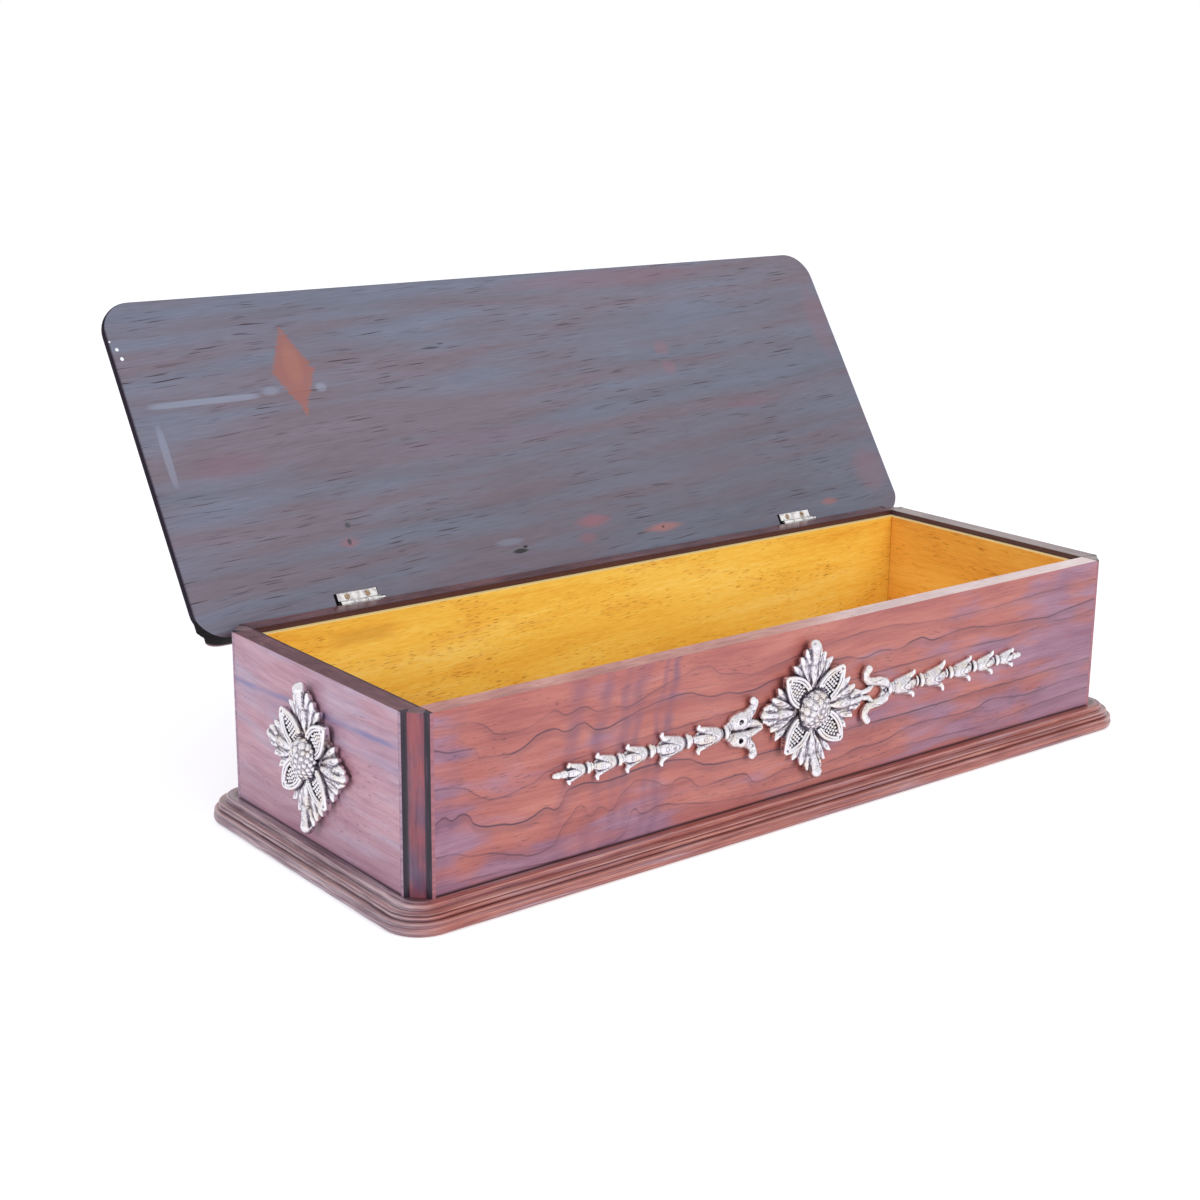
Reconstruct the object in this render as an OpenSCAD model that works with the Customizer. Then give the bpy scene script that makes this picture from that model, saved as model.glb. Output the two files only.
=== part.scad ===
/* [Case] */
// Length of the case over its end walls
case_l = 360; // [320:1:420]
// Depth of the case over its front and back walls
case_d = 130.5; // [122:0.5:160]
// Height of the walls, from the base board to the rim
wall_h = 66; // [62:0.5:90]
// Thickness of the four walls
wall_t = 8.4; // [7.6:0.1:10]
// Width of ebony string on each side of an arris of the canted corners
string_w = 1.4; // [0.6:0.1:1.6]
// Depth to which the strings are let in
string_d = 1.3; // [1.1:0.1:2]
// Thickness of the floor inside the case
floor_t = 3; // [2:0.1:5]
// Thickness of the pale lining boards
lining_t = 3; // [2:0.1:5]
// Distance of the lining's top edge below the rim
lining_drop = 2.1; // [0.5:0.1:6]

/* [Moulded base] */
// Reach of the bottom nosing beyond the walls
nosing_out = 8.7; // [8:0.1:14]
// Height of the bottom nosing
nosing_h = 5.1; // [4:0.1:8]
// Reach of the middle bead beyond the walls
bead_out = 6.5; // [5:0.1:7.8]
// Height of the middle bead
bead_h = 2.7; // [2:0.1:4]
// Reach of the top member beyond the walls
top_out = 3.9; // [3:0.1:4.8]
// Height of the top member
top_h = 2.2; // [1.8:0.1:4]
// Radius of the rounding on the top member
top_r = 1.4; // [0.6:0.1:1.7]
// Plan radius of the base's corners at the nosing
base_r = 15; // [12:0.5:20]

/* [Lid] */
// Thickness of the lid board
lid_t = 11.4; // [10.6:0.1:16]
// Reach of the lid beyond each end wall
lid_over_end = 9.2; // [3:0.1:12]
// Reach of the lid beyond the front wall
lid_over_front = 4.2; // [2:0.1:10]
// Distance from the hinge axis to the lid's rear edge
lid_heel = 4.34; // [3.6:0.01:4.5]
// Gap between the closed lid and the rim
lid_gap = 0.34; // [0.2:0.01:0.8]
// Plan radius of the lid's front corners
lid_front_r = 13.5; // [10:0.5:20]
// Plan radius of the lid's rear corners
lid_rear_r = 13.5; // [4:0.5:16]
// Thickness of the fillet next to the lid's inner face
fillet_h = 3.4; // [2.8:0.1:4.4]
// Radius of the rounding on both edges of that fillet
fillet_r = 1.1; // [0.4:0.1:1.3]
// Inset of the lid's second member behind the fillet
lid_bead_in = 2.6; // [1:0.1:3]
// Height of the lid's second member
lid_bead_h = 3; // [2:0.1:3.6]
// Inset of the lid's top board behind the fillet
lid_top_in = 6.2; // [4:0.1:7.6]
// Radius of the rounding along the lid's top edge
lid_top_r = 3; // [1:0.1:3.4]
// Angle by which the lid stands open
lid_open = 123; // [95:1:124]

/* [Hinges] */
// Distance of the left hinge's middle from the case's left end
hinge_left_in = 61.7; // [30:0.1:90]
// Distance of the right hinge's middle from the case's right end
hinge_right_in = 60.1; // [30:0.1:90]
// Length of a hinge along its pin
leaf_l = 18.2; // [16:0.1:24]
// Width of a leaf from the hinge axis to its free edge
leaf_w = 4.8; // [4.6:0.1:6]
// Thickness of a leaf
leaf_t = 0.8; // [0.6:0.05:1]
// Radius of the hinge knuckles
knuckle_r = 1.3; // [1.15:0.05:1.5]
// Radius of the hinge pin
pin_r = 0.65; // [0.5:0.05:0.75]
// Length of pin that stands out past the right end of the hinge
pin_out = 2.6; // [1:0.1:4]
// Distance of the hinge axis behind the back wall
axis_out = 2.2; // [2:0.05:2.6]
// Distance of the hinge axis below the lid's inner face
axis_drop = 0.7; // [0.5:0.05:0.9]
// Distance between the two screws of a leaf
screw_pitch = 9.3; // [8:0.1:11]
// Distance of the screws from the hinge axis
screw_off = 3.1; // [3:0.05:3.2]
// Radius of a hinge screw's head
screw_head_r = 1.25; // [1:0.05:1.3]
// Radius of a hinge screw's shank
screw_r = 0.6; // [0.4:0.05:0.7]
// Length of a hinge screw under its head
screw_l = 6; // [4:0.1:7]

/* [Mounts] */
// Height of the rosettes' centres above the base board
rosette_up = 33.8; // [28:0.1:36]
// Reach of a rosette's leaves from its centre
leaf_reach = 28; // [26:0.1:29]
// Reach of a rosette's pointed petals from its centre
petal_reach = 21.9; // [20:0.1:24]
// Radius of a rosette's berry boss where it meets the petals
boss_r = 7.7; // [7:0.1:9]
// Height of the boss above the wall
boss_h = 7.8; // [5:0.1:8.4]
// Thickness of the acanthus leaves
leaf_h = 1.9; // [1.4:0.1:2.2]
// Thickness of the pointed petals
petal_h = 3.8; // [2.4:0.1:4.4]
// Height of the garlands' axis above the base board
garland_up = 32.9; // [28:0.1:36]
// Distance from the case's centre to the scrolls
scroll_x = 25.4; // [24.8:0.1:34]
// Thickness of the scrolls
scroll_h = 2.6; // [2:0.1:3.4]
// Radius of the shank of a fixing pin
nail_r = 0.5; // [0.4:0.05:0.6]
// Radius of the head of a fixing pin
nail_head_r = 0.95; // [0.8:0.05:1.2]
// Depth to which a fixing pin goes into the wall
nail_in = 5; // [3:0.1:6]

/* [Hidden] */
// Radial clearance of pins and screws in their holes
fit = 0.04;
// Clearance round the hinges in the wood
wood_gap = 0.3;
// Extra length of the lid's mortise at the left of each hinge
mortise_extra = 1.1;
// Amount by which cutting bodies run past the surface that they open
over = 1;
// Depth of the countersink in a leaf
sink = 0.6;

cant = wall_t - string_w;
base_h = nosing_h + bead_h + top_h;
rim_z = base_h + wall_h;
inner_l = case_l - 2 * wall_t;
inner_d = case_d - 2 * wall_t;
lining_z = base_h + floor_t;
lining_h = wall_h - floor_t - lining_drop;
hinge_left_x = hinge_left_in - case_l / 2;
hinge_right_x = case_l / 2 - hinge_right_in;
axis_y = case_d / 2 + axis_out;
axis_z = rim_z + lid_gap - axis_drop;
lid_l = case_l + 2 * lid_over_end;
lid_d = case_d + lid_over_front + axis_out + lid_heel;
knuckle_gap = 0.15;
knuckle_l = (leaf_l - 2 * knuckle_gap) / 3;
rosette_z = base_h + rosette_up;
garland_z = base_h + garland_up;
nail_rosette = leaf_reach - 2.3;

// Each bell of a garland: distance of its foot from the scroll's foot, length, body radius, reach of its two tips
BELLS = [[20.8, 13.1, 4, 5.7], [39.2, 12, 4.1, 6.4], [56.8, 10, 3.6, 5.3], [70.7, 9.6, 3.3, 5], [84.8, 7.9, 3, 3.9]];
// Each collar between the bells: distance of its foot from the scroll's foot, length, radius
COLLARS = [[16.2, 3.6, 3.4], [35.1, 3.4, 2.6], [51.8, 4.4, 2.3], [67.2, 3, 2.2], [81.2, 3.2, 2]];
// Rings of berries on a boss: number of berries, angle from the boss's axis, turn as a share of one berry
BERRIES = [[1, 0, 0], [6, 24.5, 0], [12, 48, 0.5]];
// Distance of the two fixing pins of a garland from the scroll's foot
GARLAND_NAILS = [54, 96.2];

ROSEWOOD = [0.40, 0.20, 0.17];
DARK_ROSEWOOD = [0.25, 0.17, 0.19];
EBONY = [0.07, 0.05, 0.05];
SATINWOOD = [0.86, 0.62, 0.24];
SILVER = [0.78, 0.77, 0.75];
NICKEL = [0.72, 0.71, 0.68];
BRASS = [0.70, 0.58, 0.35];

// Points of an arc round a centre, from angle a0 to angle a1
function arc(c, r, a0, a1, n) = [for (i = [0:n]) let (a = a0 + (a1 - a0) * i / n) [c[0] + r * cos(a), c[1] + r * sin(a)]];

// Puts a shape drawn outward along +X and +Y at one corner of the case, s and t being the signs of X and Y
module at_corner(s, t) {
    translate([s * case_l / 2, t * case_d / 2, base_h])
        mirror([s > 0 ? 1 : 0, 0, 0])
            mirror([0, t > 0 ? 1 : 0, 0])
                children();
}

// Puts the lid's own frame, with z = 0 on its inner face and y = 0 over the hinge axis, at the lid's angle
module on_lid() {
    translate([0, axis_y, axis_z])
        rotate([-lid_open, 0, 0])
            translate([0, 0, axis_drop])
                children();
}

// Puts a frame whose z points out of a wall at a point of the front wall
module on_front(x, z) {
    translate([x, -case_d / 2, z])
        rotate([90, 0, 0])
            children();
}

// The same on an end wall, s being the sign of X and a the distance from its middle, seen from outside
module on_end(s, a, z) {
    translate([s * case_l / 2, s * a, z])
        rotate([90, 0, s * 90])
            children();
}

// Board with a moulded edge on all four sides; profile is a list of [reach beyond the case, z] from bottom to top
module moulded_board(l, d, r, profile) {
    reach = max([for (p = profile) p[0]]);
    inner = r - reach;
    cl = l / 2 - inner;
    cd = d / 2 - inner;
    edge = concat([[0, profile[0][1]]], [for (p = profile) [inner + p[0], p[1]]], [[0, profile[len(profile) - 1][1]]]);
    top = profile[len(profile) - 1][1];
    translate([-cl, -cd, 0])
        cube([2 * cl, 2 * cd, top]);
    for (s = [-1, 1])
        for (t = [-1, 1])
            translate([s * cl, t * cd, 0])
                rotate([0, 0, s > 0 ? (t > 0 ? 0 : 270) : (t > 0 ? 90 : 180)])
                    rotate_extrude(angle = 90, $fn = 72)
                        polygon(edge);
    for (s = [0, 180])
        rotate([0, 0, s])
            translate([cl, cd, 0])
                rotate([90, 0, 0])
                    linear_extrude(2 * cd)
                        polygon(edge);
    for (s = [90, 270])
        rotate([0, 0, s])
            translate([cd, cl, 0])
                rotate([90, 0, 0])
                    linear_extrude(2 * cl)
                        polygon(edge);
}

module base_board() {
    color(ROSEWOOD)
        moulded_board(case_l, case_d, base_r, concat(
            arc([nosing_out - nosing_h / 2, nosing_h / 2], nosing_h / 2, -90, 90, 10),
            arc([bead_out - bead_h / 2, nosing_h + bead_h / 2], bead_h / 2, -90, 90, 8),
            [[top_out, nosing_h + bead_h]],
            arc([top_out - top_r, base_h - top_r], top_r, 0, 90, 5)));
}

// Bore for a fixing pin, drawn from the wall's face inward
module nail_bore() {
    translate([0, 0, -nail_in - wood_gap])
        cylinder(r = nail_r + fit, h = nail_in + wood_gap + over, $fn = 32);
}

module front_wall() {
    color(ROSEWOOD)
        difference() {
            translate([-inner_l / 2, -case_d / 2, base_h])
                cube([inner_l, wall_t, wall_h]);
            for (s = [-1, 1]) {
                on_front(s * nail_rosette, rosette_z)
                    nail_bore();
                for (n = GARLAND_NAILS)
                    on_front(s * (scroll_x + n), garland_z)
                        nail_bore();
            }
        }
}

// Recess in the back wall for a leaf that is let in flush, with the holes of its two screws
module box_leaf_recess(x) {
    translate([x - leaf_l / 2 - fit, case_d / 2 - leaf_t, axis_z - leaf_w - fit])
        cube([leaf_l + 2 * fit, leaf_t + over, leaf_w + axis_drop + over]);
    for (s = [-1, 1])
        translate([x + s * screw_pitch / 2, case_d / 2, axis_z - screw_off])
            rotate([90, 0, 0])
                cylinder(r = screw_r + fit, h = screw_l + wood_gap, $fn = 32);
}

module back_wall() {
    color(ROSEWOOD)
        difference() {
            translate([-inner_l / 2, case_d / 2 - wall_t, base_h])
                cube([inner_l, wall_t, wall_h]);
            box_leaf_recess(hinge_left_x);
            box_leaf_recess(hinge_right_x);
        }
}

module end_wall(s) {
    color(ROSEWOOD)
        difference() {
            translate([s > 0 ? case_l / 2 - wall_t : -case_l / 2, -inner_d / 2, base_h])
                cube([wall_t, inner_d, wall_h]);
            for (a = [-1, 1])
                on_end(s, a * nail_rosette, rosette_z)
                    nail_bore();
        }
}

module left_wall() {
    end_wall(-1);
}

module right_wall() {
    end_wall(1);
}

// Corner post between two walls: a square block less its cant and less the rebates of the two strings
module corner_post(s, t) {
    k = string_w * sqrt(0.5);
    color(ROSEWOOD)
        at_corner(s, t)
            linear_extrude(wall_h)
                polygon([[cant - k, k], [wall_t, string_d], [wall_t, wall_t], [string_d, wall_t], [k, cant - k]]);
}

module post_front_left() {
    corner_post(-1, -1);
}

module post_front_right() {
    corner_post(1, -1);
}

module post_back_left() {
    corner_post(-1, 1);
}

module post_back_right() {
    corner_post(1, 1);
}

// Eight ebony strings, one along each arris of the four cants
module corner_strings() {
    k = string_w * sqrt(0.5);
    color(EBONY)
        for (s = [-1, 1])
            for (t = [-1, 1])
                at_corner(s, t)
                    linear_extrude(wall_h) {
                        polygon([[cant, 0], [wall_t, 0], [wall_t, string_d], [cant - k, k]]);
                        polygon([[0, cant], [k, cant - k], [string_d, wall_t], [0, wall_t]]);
                    }
}

module floor_panel() {
    color(SATINWOOD)
        translate([-inner_l / 2, -inner_d / 2, base_h])
            cube([inner_l, inner_d, floor_t]);
}

module lining_long(t) {
    color(SATINWOOD)
        translate([-inner_l / 2, t > 0 ? inner_d / 2 - lining_t : -inner_d / 2, lining_z])
            cube([inner_l, lining_t, lining_h]);
}

module lining_short(s) {
    color(SATINWOOD)
        translate([s > 0 ? inner_l / 2 - lining_t : -inner_l / 2, -inner_d / 2 + lining_t, lining_z])
            cube([lining_t, inner_d - 2 * lining_t, lining_h]);
}

module lining_front() {
    lining_long(-1);
}

module lining_back() {
    lining_long(1);
}

module lining_left() {
    lining_short(-1);
}

module lining_right() {
    lining_short(1);
}

// Section of the lid's moulded edge, as [distance inside the lid's outline, z above the inner face], bottom to top
function lid_edge() = concat(
    arc([fillet_r, fillet_r], -fillet_r, 90, 0, 4),
    arc([fillet_r, fillet_h - fillet_r], -fillet_r, 0, -90, 4),
    [[lid_bead_in, fillet_h]],
    [[lid_bead_in, fillet_h + lid_bead_h]],
    [[lid_top_in, fillet_h + lid_bead_h]],
    arc([lid_top_in + lid_top_r, lid_t - lid_top_r], -lid_top_r, 0, -90, 6));

// Lid blank with the moulding on its ends and front; its rear edge is square
module lid_blank() {
    r = lid_front_r;
    cl = lid_l / 2 - r;
    rear = lid_heel;
    front = lid_heel - lid_d + r;
    edge = concat([[0, 0]], [for (p = lid_edge()) [r - p[0], p[1]]], [[0, lid_t]]);
    translate([-cl, front, 0])
        cube([2 * cl, rear - front, lid_t]);
    for (s = [-1, 1])
        translate([s * cl, front, 0])
            rotate([0, 0, s > 0 ? 270 : 180])
                rotate_extrude(angle = 90, $fn = 72)
                    polygon(edge);
    translate([-cl, front, 0])
        rotate([0, 0, -90])
            rotate([90, 0, 0])
                mirror([0, 0, 1])
                    linear_extrude(2 * cl)
                        polygon(edge);
    for (s = [0, 1])
        mirror([s, 0, 0])
            translate([cl, rear, 0])
                rotate([90, 0, 0])
                    linear_extrude(rear - front)
                        polygon(edge);
}

// Waste outside a rear corner of the lid, s being the sign of X
module lid_corner_waste(s) {
    x = lid_l / 2 - lid_rear_r;
    y = lid_heel - lid_rear_r;
    mirror([s > 0 ? 0 : 1, 0, 0])
        translate([0, 0, -over])
            linear_extrude(lid_t + 2 * over)
                polygon(concat(
                    [[x + lid_rear_r + over, y]],
                    [[x + lid_rear_r + over, y + lid_rear_r + over], [x, y + lid_rear_r + over]],
                    arc([x, y], lid_rear_r, 90, 0, 12)));
}

// Mortise in the lid's inner face for a leaf, its knuckles and the end of its pin, with the screws' holes
module lid_leaf_mortise(x) {
    left = x - leaf_l / 2 - wood_gap;
    deep = knuckle_r - axis_drop + wood_gap;
    translate([left - mortise_extra, -leaf_w - fit, -over])
        cube([leaf_l + 2 * wood_gap + mortise_extra, leaf_w + fit - knuckle_r - wood_gap, over + leaf_t]);
    translate([left - mortise_extra, -knuckle_r - wood_gap - fit, -over])
        cube([leaf_l + 2 * wood_gap + mortise_extra, 2 * (knuckle_r + wood_gap), over + max(deep, leaf_t)]);
    translate([x, -pin_r - wood_gap - 0.2, -over])
        cube([leaf_l / 2 + pin_out + 2 * wood_gap, 2 * (pin_r + wood_gap + 0.2), over + max(pin_r - axis_drop, 0) + 0.4]);
    for (s = [-1, 1])
        translate([x + s * screw_pitch / 2, -screw_off, 0])
            cylinder(r = screw_r + fit, h = screw_l + wood_gap, $fn = 32);
}

module lid_board() {
    color(DARK_ROSEWOOD)
        on_lid()
            difference() {
                lid_blank();
                lid_corner_waste(-1);
                lid_corner_waste(1);
                lid_leaf_mortise(hinge_left_x);
                lid_leaf_mortise(hinge_right_x);
            }
}

// One knuckle along the hinge axis, i = -1, 0 or 1
module knuckle(i) {
    translate([i * (knuckle_l + knuckle_gap) - knuckle_l / 2, 0, 0])
        rotate([0, 90, 0])
            cylinder(r = knuckle_r, h = knuckle_l, $fn = 48);
}

module knuckle_bore() {
    translate([-leaf_l / 2 - over, 0, 0])
        rotate([0, 90, 0])
            cylinder(r = pin_r + fit, h = leaf_l + 2 * over, $fn = 48);
}

// Countersunk hole of a leaf, drawn from the leaf's outer face downward
module leaf_hole() {
    translate([0, 0, -leaf_t - over])
        cylinder(r = screw_r + fit, h = leaf_t + 2 * over, $fn = 32);
    translate([0, 0, -sink])
        cylinder(r1 = screw_r + fit, r2 = screw_head_r + fit, h = sink, $fn = 32);
    cylinder(r = screw_head_r + fit, h = over, $fn = 32);
}

// Leaf on the back wall, let in flush, with a short crank out to its two knuckles
module box_leaf(x) {
    color(NICKEL)
        difference() {
            union() {
                translate([x - leaf_l / 2, case_d / 2 - leaf_t, axis_z - leaf_w])
                    cube([leaf_l, leaf_t, leaf_w + axis_drop - lid_gap]);
                for (i = [-1, 1])
                    translate([x + i * (knuckle_l + knuckle_gap) - knuckle_l / 2, case_d / 2 - leaf_t / 2, axis_z - leaf_t - 0.2])
                        cube([knuckle_l, axis_out + leaf_t / 2, leaf_t]);
                for (i = [-1, 1])
                    translate([x, axis_y, axis_z])
                        knuckle(i);
            }
            translate([x, axis_y, axis_z])
                knuckle_bore();
            for (s = [-1, 1])
                translate([x + s * screw_pitch / 2, case_d / 2, axis_z - screw_off])
                    rotate([-90, 0, 0])
                        leaf_hole();
        }
}

// Leaf in the lid's inner face, let in flush, with a tongue to its middle knuckle
module lid_leaf(x) {
    color(NICKEL)
        on_lid()
            difference() {
                union() {
                    translate([x - leaf_l / 2, -leaf_w, 0])
                        cube([leaf_l, leaf_w - knuckle_r - wood_gap, leaf_t]);
                    translate([x - knuckle_l / 2, -knuckle_r - 2 * wood_gap, -0.25])
                        cube([knuckle_l, knuckle_r + 2 * wood_gap, 0.7]);
                    translate([x, 0, -axis_drop])
                        knuckle(0);
                }
                translate([x, 0, -axis_drop])
                    knuckle_bore();
                for (s = [-1, 1])
                    translate([x + s * screw_pitch / 2, -screw_off, 0])
                        rotate([180, 0, 0])
                            leaf_hole();
            }
}

// Pin of a hinge, with a small ball on the end that stands out
module hinge_pin(x) {
    color(NICKEL)
        translate([x - leaf_l / 2, axis_y, axis_z]) {
            rotate([0, 90, 0])
                cylinder(r = pin_r, h = leaf_l + pin_out - pin_r, $fn = 48);
            translate([leaf_l + pin_out - pin_r, 0, 0])
                sphere(r = pin_r + 0.1, $fn = 48);
        }
}

module left_box_leaf() {
    box_leaf(hinge_left_x);
}

module left_lid_leaf() {
    lid_leaf(hinge_left_x);
}

module left_hinge_pin() {
    hinge_pin(hinge_left_x);
}

module right_box_leaf() {
    box_leaf(hinge_right_x);
}

module right_lid_leaf() {
    lid_leaf(hinge_right_x);
}

module right_hinge_pin() {
    hinge_pin(hinge_right_x);
}

// Slotted screw with its head's edge at z = 0 and its shank downward; dome is the height of the head's crown
module hinge_screw(dome) {
    difference() {
        rotate_extrude($fn = 32)
            polygon(concat(
                [[0, -screw_l], [screw_r * 0.4, -screw_l], [screw_r, -screw_l + 1.2], [screw_r, -sink], [screw_head_r, 0]],
                [for (i = [1:4]) [screw_head_r * cos(i * 22.5), dome * sin(i * 22.5)]]));
        translate([-screw_head_r - over, -0.16, dome - 0.32])
            cube([2 * (screw_head_r + over), 0.32, over]);
    }
}

module box_leaf_screws() {
    color(BRASS)
        for (x = [hinge_left_x, hinge_right_x])
            for (s = [-1, 1])
                translate([x + s * screw_pitch / 2, case_d / 2, axis_z - screw_off])
                    rotate([-90, 0, 0])
                        hinge_screw(0.06);
}

module lid_leaf_screws() {
    color(BRASS)
        on_lid()
            for (x = [hinge_left_x, hinge_right_x])
                for (s = [-1, 1])
                    translate([x + s * screw_pitch / 2, -screw_off, 0])
                        rotate([180, 0, s * 35])
                            hinge_screw(0.22);
}

// Outline of one acanthus leaf that points along +Y from the rosette's centre
module leaf_outline() {
    r = leaf_reach;
    half = [[2.4, 5], [5.2, r - 15.6], [8.4, r - 11], [9.6, r - 7.4], [6.4, r - 8.2], [6.1, r - 4.6], [3.1, r - 5.4], [1.7, r - 3]];
    polygon(concat(half, [for (i = [len(half) - 1:-1:0]) [-half[i][0], half[i][1]]]));
}

// Outline of the raised lobe along the middle of an acanthus leaf
module lobe_outline() {
    r = leaf_reach;
    half = [[1.5, 6], [2.7, r - 15], [2.9, r - 9], [2.1, r - 5.6], [1.2, r - 3.4]];
    polygon(concat(half, [for (i = [len(half) - 1:-1:0]) [-half[i][0], half[i][1]]]));
}

// Outline of one pointed petal that points along +Y, drawn in by e on every side
module petal_outline(e) {
    r = petal_reach;
    half = [[3.4 - e, 5 + e], [5.1 - e, 8 + e], [5.2 - e, r - 11.4], [4.3 - e, r - 8.6], [2.6 - e, r - 4.9 - e]];
    polygon(concat(half, [[0, r - 2 * e]], [for (i = [len(half) - 1:-1:0]) [-half[i][0], half[i][1]]]));
}

// Cast rosette in the plane z = 0: four acanthus leaves, four pointed petals with sunk centres, a berry boss
module rosette() {
    ball = 2.7;
    dome = (boss_r * boss_r + boss_h * boss_h) / (2 * boss_h);
    difference() {
        union() {
            for (a = [0:90:270])
                rotate([0, 0, a]) {
                    linear_extrude(leaf_h)
                        leaf_outline();
                    linear_extrude(leaf_h + 0.7)
                        lobe_outline();
                }
            for (a = [0, 180])
                rotate([0, 0, a])
                    intersection() {
                        translate([0, leaf_reach - ball, 0.9])
                            sphere(r = ball, $fn = 40);
                        translate([-2 * ball, 0, 0])
                            cube([4 * ball, 2 * leaf_reach, 3 * ball]);
                    }
            for (a = [90, 270])
                rotate([0, 0, a])
                    translate([0, nail_rosette, 0])
                        cylinder(r = leaf_reach - nail_rosette, h = leaf_h + 0.5, $fn = 40);
            for (a = [45:90:315])
                rotate([0, 0, a])
                    difference() {
                        linear_extrude(petal_h)
                            petal_outline(0);
                        translate([0, 0, petal_h - 0.7])
                            linear_extrude(over)
                                petal_outline(1.5);
                    }
            intersection() {
                translate([0, 0, boss_h - dome])
                    sphere(r = dome, $fn = 72);
                translate([-2 * boss_r, -2 * boss_r, 0])
                    cube([4 * boss_r, 4 * boss_r, 2 * boss_h]);
            }
            for (ring = BERRIES)
                for (i = [1:ring[0]])
                    translate([0, 0, boss_h - dome])
                        rotate([0, ring[1], (i + ring[2]) * 360 / ring[0]])
                            translate([0, 0, dome - 0.75])
                                sphere(r = 1.5, $fn = 32);
        }
        for (s = [-1, 1])
            translate([s * nail_rosette, 0, -over])
                cylinder(r = nail_r + fit, h = leaf_h + 3 * over, $fn = 32);
    }
}

module front_rosette() {
    color(SILVER)
        on_front(0, rosette_z)
            rosette();
}

module left_rosette() {
    color(SILVER)
        on_end(-1, 0, rosette_z)
            rosette();
}

module right_rosette() {
    color(SILVER)
        on_end(1, 0, rosette_z)
            rosette();
}

// Scroll at the foot of a garland: two volutes that turn away from each other round an open notch
module scroll_outline() {
    half = [[16.1, 3.3], [14, 4.6], [10.5, 5.2], [8, 5.9], [6.2, 7], [5.6, 8.6], [6.4, 10.2], [5.8, 11.7],
        [4.4, 12.4], [2.6, 12.2], [1.4, 11], [1.1, 9], [0.4, 7], [0.1, 5], [0.3, 3.5], [3, 3.1], [4.4, 1.6], [7.4, 0]];
    polygon(concat(half, [for (i = [len(half) - 2:-1:0]) [half[i][0], -half[i][1]]]));
}

// Bellflower along +X: a half-round body that widens to its mouth, two spread tips and a pointed tongue
module bell(b) {
    l = b[1];
    r = b[2];
    t = b[3];
    intersection() {
        rotate([0, 90, 0])
            rotate_extrude($fn = 40)
                polygon([[0, 0], [r * 0.55, 0], [r * 0.85, l * 0.1], [r, l * 0.3], [r * 0.9, l * 0.6], [r, l * 0.85], [0, l * 0.85]]);
        translate([-over, -2 * r, 0])
            cube([l + 2 * over, 4 * r, 0.8 * r]);
    }
    linear_extrude(1.5)
        polygon([[l * 0.6, r * 0.7], [l * 0.8, r], [l * 0.86, t], [l * 0.98, t - 1], [l * 0.94, r * 0.6], [l * 1.12, 0],
            [l * 0.94, -r * 0.6], [l * 0.98, 1 - t], [l * 0.86, -t], [l * 0.8, -r], [l * 0.6, -r * 0.7]]);
}

// Garland in the plane z = 0 that runs along +X from its scroll
module garland() {
    difference() {
        union() {
            linear_extrude(scroll_h)
                scroll_outline();
            translate([7.6, -1.1, 0])
                cube([GARLAND_NAILS[1] - 7.6, 2.2, 0.9]);
            for (c = COLLARS)
                translate([c[0], -c[2], 0])
                    cube([c[1], 2 * c[2], 1.7]);
            for (b = BELLS)
                translate([b[0], 0, 0])
                    bell(b);
            translate([GARLAND_NAILS[1], 0, 0])
                cylinder(r = 1.8, h = 1.3, $fn = 40);
        }
        for (n = GARLAND_NAILS)
            translate([n, 0, -over])
                cylinder(r = nail_r + fit, h = 4 * over, $fn = 32);
        for (s = [-1, 1])
            translate([11.6, s * 3.6, scroll_h - 0.9])
                cylinder(r = 0.9, h = over, $fn = 24);
    }
}

module left_garland() {
    color(SILVER)
        on_front(-scroll_x, garland_z)
            mirror([1, 0, 0])
                garland();
}

module right_garland() {
    color(SILVER)
        on_front(scroll_x, garland_z)
            garland();
}

// Fixing pin with a domed head that rests at height h above the wall
module nail(h) {
    translate([0, 0, h])
        rotate_extrude($fn = 32)
            polygon(concat(
                [[0, -h - nail_in], [nail_r * 0.3, -h - nail_in], [nail_r, 0.9 - h - nail_in], [nail_r, 0]],
                [for (i = [0:4]) [nail_head_r * cos(i * 22.5), 0.55 * sin(i * 22.5)]]));
}

module mount_pins() {
    color(BRASS) {
        for (s = [-1, 1]) {
            on_front(s * nail_rosette, rosette_z)
                nail(leaf_h + 0.5);
            on_front(s * (scroll_x + GARLAND_NAILS[0]), garland_z)
                nail(1.7);
            on_front(s * (scroll_x + GARLAND_NAILS[1]), garland_z)
                nail(1.3);
            for (a = [-1, 1])
                on_end(s, a * nail_rosette, rosette_z)
                    nail(leaf_h + 0.5);
        }
    }
}

base_board();
front_wall();
back_wall();
left_wall();
right_wall();
post_front_left();
post_front_right();
post_back_left();
post_back_right();
corner_strings();
floor_panel();
lining_front();
lining_back();
lining_left();
lining_right();
lid_board();
left_box_leaf();
left_lid_leaf();
left_hinge_pin();
right_box_leaf();
right_lid_leaf();
right_hinge_pin();
box_leaf_screws();
lid_leaf_screws();
front_rosette();
left_rosette();
right_rosette();
left_garland();
right_garland();
mount_pins();
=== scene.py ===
"""Rosewood box with a hinged lid, satinwood lining and silvered cast mounts, standing open on a pale table."""
import math

import bpy
import numpy as np
from mathutils import Matrix, Vector


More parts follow.
